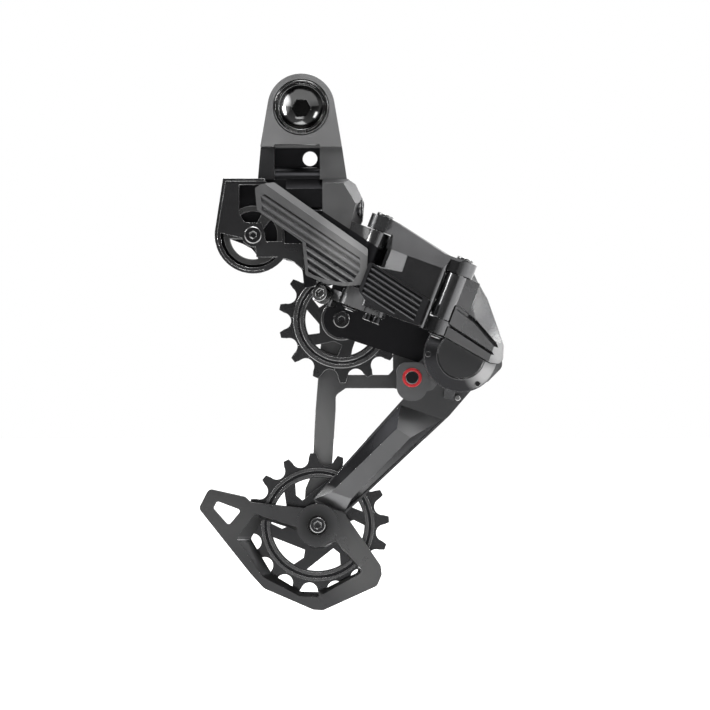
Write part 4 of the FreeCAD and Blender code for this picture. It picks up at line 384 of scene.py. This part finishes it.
# Places on a piece with painted light or painted shade of their own: the node, tests that a face passes,
# and the finish.
PLACES = [
    ("b_knuckle", [inside((-ALL, -ALL, -ALL), (ALL, ALL, -35))], BLACK_AND_PAINTED_SHADE),
    ("b_knuckle", [inside((8, -ALL, -62), (ALL, ALL, -35)), looking(OUTBOARD, 0.6)], BODY),
    ("b_knuckle", [inside((-12.9, -ALL, -50), (10.6, ALL, -14))], BLACK_AND_PAINTED_SHADE),
    ("b_knuckle", [inside((-30, -ALL, -36.6), (-13.1, ALL, -19))], SHADE),
    ("b_knuckle", [inside((10.6, -ALL, -36), (ALL, ALL, -19))], BODY),
    ("b_knuckle", [inside((-ALL, -4.5, -ALL), (ALL, ALL, -19))], BLACK_AND_PAINTED_SHADE),
    ("b_knuckle", [inside((26, -ALL, -66), (ALL, ALL, -54))], GLOSSY_BARREL_PAINTED_HIGHLIGHT),
    ("b_knuckle", [looking(INBOARD, 0.95)], BODY),
    ("outer_link", [looking(LINK_FRONT, 0.985)], LINK_FACE_PAINTED_SHADE),
    ("outer_link", [inside((38, -ALL, -82), (54, ALL, -68)), looking(LINK_FRONT, 0.9),
                    right_of(*LINK_CUT), left_of(*LINK_CUT_LOW)], LINK_END_PAINTED_HIGHLIGHT),
    ("outer_link", [inside((8, -ALL, -105), (40, ALL, -86)), looking(LINK_FRONT, 0.9)], HOOD_FACET_PAINTED_LIGHT),
    ("b_skid_plate", [narrow(FLANK_AREA), looking(FLUTE_UP, 0.88)], FLUTE_PAINTED_LIGHT),
    ("b_skid_plate", [narrow(FLANK_AREA), looking(FLUTE_DOWN, 0.88)], DARK_SKID_AND_PAINTED_SHADE),
    ("lower_pulley", [level(*RIM_LEVEL)], PULLEY_LAND_PAINTED_LIGHT),
    ("upper_pulley", [level(*RIM_LEVEL)], PULLEY_LAND_PAINTED_LIGHT),
    ("lower_pulley", [level(*GROOVE_LEVEL)], BLACK_AND_PAINTED_SHADE),
    ("upper_pulley", [level(*GROOVE_LEVEL)], BLACK_AND_PAINTED_SHADE),
    ("cage_outer_plate", [inside((-10, -ALL, -130), (66, ALL, -80))], BLACK_AND_PAINTED_SHADE),
    ("cage_outer_plate", [inside((20, 8, -160), (90, ALL, -125))], BLOCK_PAINTED_SHADE),
    ("cage_outer_plate", [ARM, looking(LEFT_FLANK, 0.93)], FLANK_PAINTED_SHADE_AND_HIGHLIGHT),
    ("cage_outer_plate", [ARM, looking(RIGHT_FLANK, 0.93)], FLANK_PAINTED_SHADE_AND_HIGHLIGHT),
    ("cage_outer_plate", [ARM, looking(NECK_WAY, 0.97)], NECK),
    ("cage_outer_plate", [ARM, looking(FOOT_WAY, 0.97)], NECK),
    ("cage_outer_plate", [inside((2, 2, -201), (72, 8, -144)), looking(OUTBOARD, 0.99)], ARM_FACE_PAINTED_LIGHT),
    ("clutch_cover", [looking(OUTBOARD, 0.97)], FINISHES["cage_grey"]),
    ("p_knuckle", [inside((40, -ALL, -145), (66, ALL, -123))], SHADE),
    ("p_knuckle", [inside((38, -6, -147), (64, 2, -118)), looking(OUTBOARD, 0.95)], BOSS_PAINTED_LIGHT),
    ("p_knuckle", [inside((64, -ALL, -104), (79, ALL, -80))], GLOSSY_BARREL_PAINTED_HIGHLIGHT),
    ("p_knuckle", [inside((66, -ALL, -122), (94, ALL, -92)), right_of(*HOOD_SEAM_HIGH),
                   left_of(*HOOD_SEAM_LOW), looking(OUTBOARD, 0.2)], HOOD_FACET_PAINTED_LIGHT),
    ("p_knuckle", [inside((72, -41, -102), (84, -39, -92)), looking(OUTBOARD, 0.99)], HOOD_FACET_PAINTED_LIGHT),
    ("p_knuckle", [inside((74, -42, -119), (86, -40, -112)), looking(OUTBOARD, 0.99)], BODY),
]
# Where a long face is divided between two finishes: the node, and a line on the outboard side.
DIVIDED = [("b_knuckle", BODY_SHADE), ("outer_link", LINK_CUT), ("outer_link", LINK_CUT_LOW)]


def finish_for(node):
    """A piece's own finish, or else its slot's."""
    return OWN_FINISH.get(node) or FINISHES[slots[node]]


# ---------------------------------------------------------------- pieces
WELD = 1e-6
EASE = 0.3 * MM
# Edges eased more on the big forgings, and less on thin or small pieces.
EASE_OF = {
    "b_knuckle": 0.45 * MM, "p_knuckle": 0.45 * MM, "outer_link": 0.5 * MM, "cage_outer_plate": 0.45 * MM,
    "b_skid_plate": 0.35 * MM, "upper_pulley": 0.2 * MM, "lower_pulley": 0.2 * MM,
    "pin_b_clips": 0.12 * MM, "pin_p_clips": 0.12 * MM,
}
SHARP = math.radians(12)            # edges turning more than this are eased
FLAT = math.radians(0.05)           # faces turning less than this are one face
SMOOTH = math.radians(38)           # edges turning less than this are shaded smooth


def eased_copy(node, steps=2):
    """A welded copy of a CAD node with its sharp edges eased, which stands for it."""
    width = EASE_OF.get(node, EASE)
    shape = bmesh.new()
    eased = shape.faces.layers.float.new("eased")
    shape.from_mesh(frame["nodes"][node].data)
    bmesh.ops.remove_doubles(shape, verts=shape.verts, dist=WELD)
    bmesh.ops.dissolve_limit(shape, angle_limit=FLAT, verts=shape.verts, edges=shape.edges)
    for name, (x0, z0, x1, z1) in DIVIDED:
        if name == node:
            bmesh.ops.bisect_plane(shape, geom=shape.verts[:] + shape.edges[:] + shape.faces[:],
                                   plane_co=Vector((x0, 0, z0)) * MM, plane_no=(z1 - z0, 0, x0 - x1))
    sharp = [e for e in shape.edges if len(e.link_faces) == 2 and e.calc_face_angle() > SHARP]
    made = bmesh.ops.bevel(shape, geom=sharp, offset=width, offset_type="OFFSET", segments=steps,
                           profile=0.5, affect="EDGES", clamp_overlap=True, material=-1)
    for face in made["faces"]:
        face[eased] = 1.0
    shape.normal_update()
    finishes = [finish_for(node)]
    # Faces at the listed places take their painted light or painted shade.
    for name, tests, finish in PLACES:
        if name == node:
            finishes.append(finish)
            for face in shape.faces:
                if all(test(face) for test in tests):
                    face.material_index = len(finishes) - 1
    mesh = bpy.data.meshes.new(node + "_eased")
    shape.to_mesh(mesh)
    shape.free()
    mesh.shade_smooth()
    mesh.set_sharp_from_angle(angle=SMOOTH)
    piece = bpy.data.objects.new(node + "_eased", mesh)
    bpy.context.scene.collection.objects.link(piece)
    evener = piece.modifiers.new("even_normals", "WEIGHTED_NORMAL")
    evener.keep_sharp = True
    for finish in finishes:
        piece.data.materials.append(finish)
    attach(piece, body_of[node])
    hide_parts(node)
    return piece


pieces = {node: eased_copy(node) for node in frame["nodes"]}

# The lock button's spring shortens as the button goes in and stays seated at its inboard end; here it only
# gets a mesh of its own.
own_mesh(pieces["lock_button_spring"])


# ---------------------------------------------------------------- studio
FLOOR_DROP, FLOOR_RADIUS = 40 * MM, 6.0
FLOOR_NEAR, FLOOR_FAR = 0.3, 1.6    # from the part's shadow to where the floor is white
GLOW_NEAR, GLOW_FAR = 0.5, 1.1
WHITE = (1, 1, 1, 1)


def pale_stage():
    """A plain floor under the part, and a pale room round it."""
    shape = bmesh.new()
    bmesh.ops.create_circle(shape, cap_ends=True, segments=96, radius=FLOOR_RADIUS)
    bmesh.ops.translate(shape, verts=shape.verts, vec=(0, 0, cad_box[0][2] - FLOOR_DROP))
    mesh = bpy.data.meshes.new("floor")
    shape.to_mesh(mesh)
    shape.free()
    floor = bpy.data.objects.new("floor", mesh)
    bpy.context.scene.collection.objects.link(floor)
    material = bpy.data.materials.new("pale_floor")
    material.use_nodes = True
    tree = material.node_tree
    surface = tree.nodes["Principled BSDF"]
    surface.inputs["Base Color"].default_value = (0.8, 0.8, 0.8, 1)
    surface.inputs["Roughness"].default_value = 0.9
    surface.inputs["Emission Color"].default_value = WHITE
    path = tree.nodes.new("ShaderNodeLightPath")
    place = tree.nodes.new("ShaderNodeTexCoord")
    away = tree.nodes.new("ShaderNodeVectorMath")
    away.operation = "LENGTH"
    link(tree, place.outputs["Object"], away.inputs[0])
    glow = ranged(tree, away.outputs["Value"], FLOOR_NEAR, FLOOR_FAR, GLOW_NEAR, GLOW_FAR)
    mirrored = sum_of(tree, "MAXIMUM", path.outputs["Is Glossy Ray"], path.outputs["Is Transmission Ray"])
    seen = sum_of(tree, "MAXIMUM", path.outputs["Is Camera Ray"], mirrored)
    link(tree, sum_of(tree, "MULTIPLY", seen, glow), surface.inputs["Emission Strength"])
    floor.data.materials.append(material)


# Where the room is bright: overhead, and where the pale backdrop stands, as metal shows it. Each has
# two cosines to that direction, and the strengths of the light there.
OVERHEAD, OVERHEAD_GRADE = (0.25, -0.15, 1.0), (-0.3, 0.95, 0.02, 0.9)
BACKDROP, BACKDROP_GRADE = (0.20, 0.55, 0.85), (-0.55, 0.75, 0.02, 1.0)


def room_light():
    """A white room to the camera, a graded backdrop in the metal, and light from overhead."""
    world = bpy.data.worlds.new("studio")
    bpy.context.scene.world = world
    world.use_nodes = True
    tree = world.node_tree
    tree.nodes.clear()
    out = tree.nodes.new("ShaderNodeOutputWorld")
    seen = tree.nodes.new("ShaderNodeBackground")
    seen.inputs["Color"].default_value = WHITE
    lit = tree.nodes.new("ShaderNodeBackground")
    path = tree.nodes.new("ShaderNodeLightPath")
    mix = tree.nodes.new("ShaderNodeMixShader")
    where = tree.nodes.new("ShaderNodeTexCoord")

    def graded(direction, grade):
        toward = tree.nodes.new("ShaderNodeVectorMath")
        toward.operation = "DOT_PRODUCT"
        toward.inputs[1].default_value = Vector(direction).normalized()
        link(tree, where.outputs["Generated"], toward.inputs[0])
        return ranged(tree, toward.outputs["Value"], *grade)

    link(tree, graded(OVERHEAD, OVERHEAD_GRADE), lit.inputs["Strength"])
    backdrop = graded(BACKDROP, BACKDROP_GRADE)
    link(tree, sum_of(tree, "MAXIMUM", path.outputs["Is Camera Ray"], backdrop), seen.inputs["Strength"])
    mirrored = sum_of(tree, "MAXIMUM", path.outputs["Is Glossy Ray"], path.outputs["Is Transmission Ray"])
    link(tree, sum_of(tree, "MAXIMUM", path.outputs["Is Camera Ray"], mirrored), mix.inputs[0])
    link(tree, lit.outputs[0], mix.inputs[1])
    link(tree, seen.outputs[0], mix.inputs[2])
    link(tree, mix.outputs[0], out.inputs[0])


def softbox(name, at, aim, size, power):
    """A rectangular lamp: where it stands, where it points, its width and height, and its watts."""
    lamp = bpy.data.lights.new(name, "AREA")
    lamp.shape = "RECTANGLE"
    lamp.size, lamp.size_y = size
    lamp.energy = power
    box = bpy.data.objects.new(name, lamp)
    bpy.context.scene.collection.objects.link(box)
    box.location = at
    box.rotation_euler = (Vector(aim) - Vector(at)).to_track_quat("-Z", "Y").to_euler()
    box.visible_camera = False


VIEW_MIDDLE, VIEW_WIDTH = (26.1 * MM, 0.0, -120.0 * MM), 346.3 * MM
VIEW_SPREAD = math.radians(10)
VIEW_NEAREST = 0.05


def camera():
    """Square on to the outboard side, from about two metres."""
    data = bpy.data.cameras.new("camera")
    data.angle = VIEW_SPREAD
    data.clip_start = VIEW_NEAREST
    eye = bpy.data.objects.new("camera", data)
    bpy.context.scene.collection.objects.link(eye)
    eye.location = Vector(VIEW_MIDDLE) - Vector((0, VIEW_WIDTH / 2 / math.tan(VIEW_SPREAD / 2), 0))
    eye.rotation_euler = (math.radians(90), 0, 0)
    bpy.context.scene.camera = eye


CLEVIS, CENTRE = (0.02, 0.0, -0.06), (0.03, 0.0, -0.11)
LAMPS = [
    ("key", (0.10, -0.70, 0.52), CLEVIS, (0.45, 0.45), 6),
    ("left_high", (-0.80, -0.22, 0.45), CENTRE, (0.25, 0.35), 6),
    ("left_low", (-0.85, 0.05, -0.40), CENTRE, (0.12, 0.6), 5),
    ("right_high", (0.92, -0.20, 0.22), CENTRE, (0.14, 0.5), 7),
    ("back_left", (-0.6, 0.8, 0.3), CENTRE, (0.4, 0.9), 7),
    ("back_right", (0.6, 0.8, 0.3), CENTRE, (0.4, 0.9), 7),
    ("top", (0.1, -0.1, 1.0), CENTRE, (0.8, 0.5), 12),
]
pale_stage()
room_light()
for lamp in LAMPS:
    softbox(*lamp)
camera()
bpy.context.scene.view_settings.view_transform = "Standard"
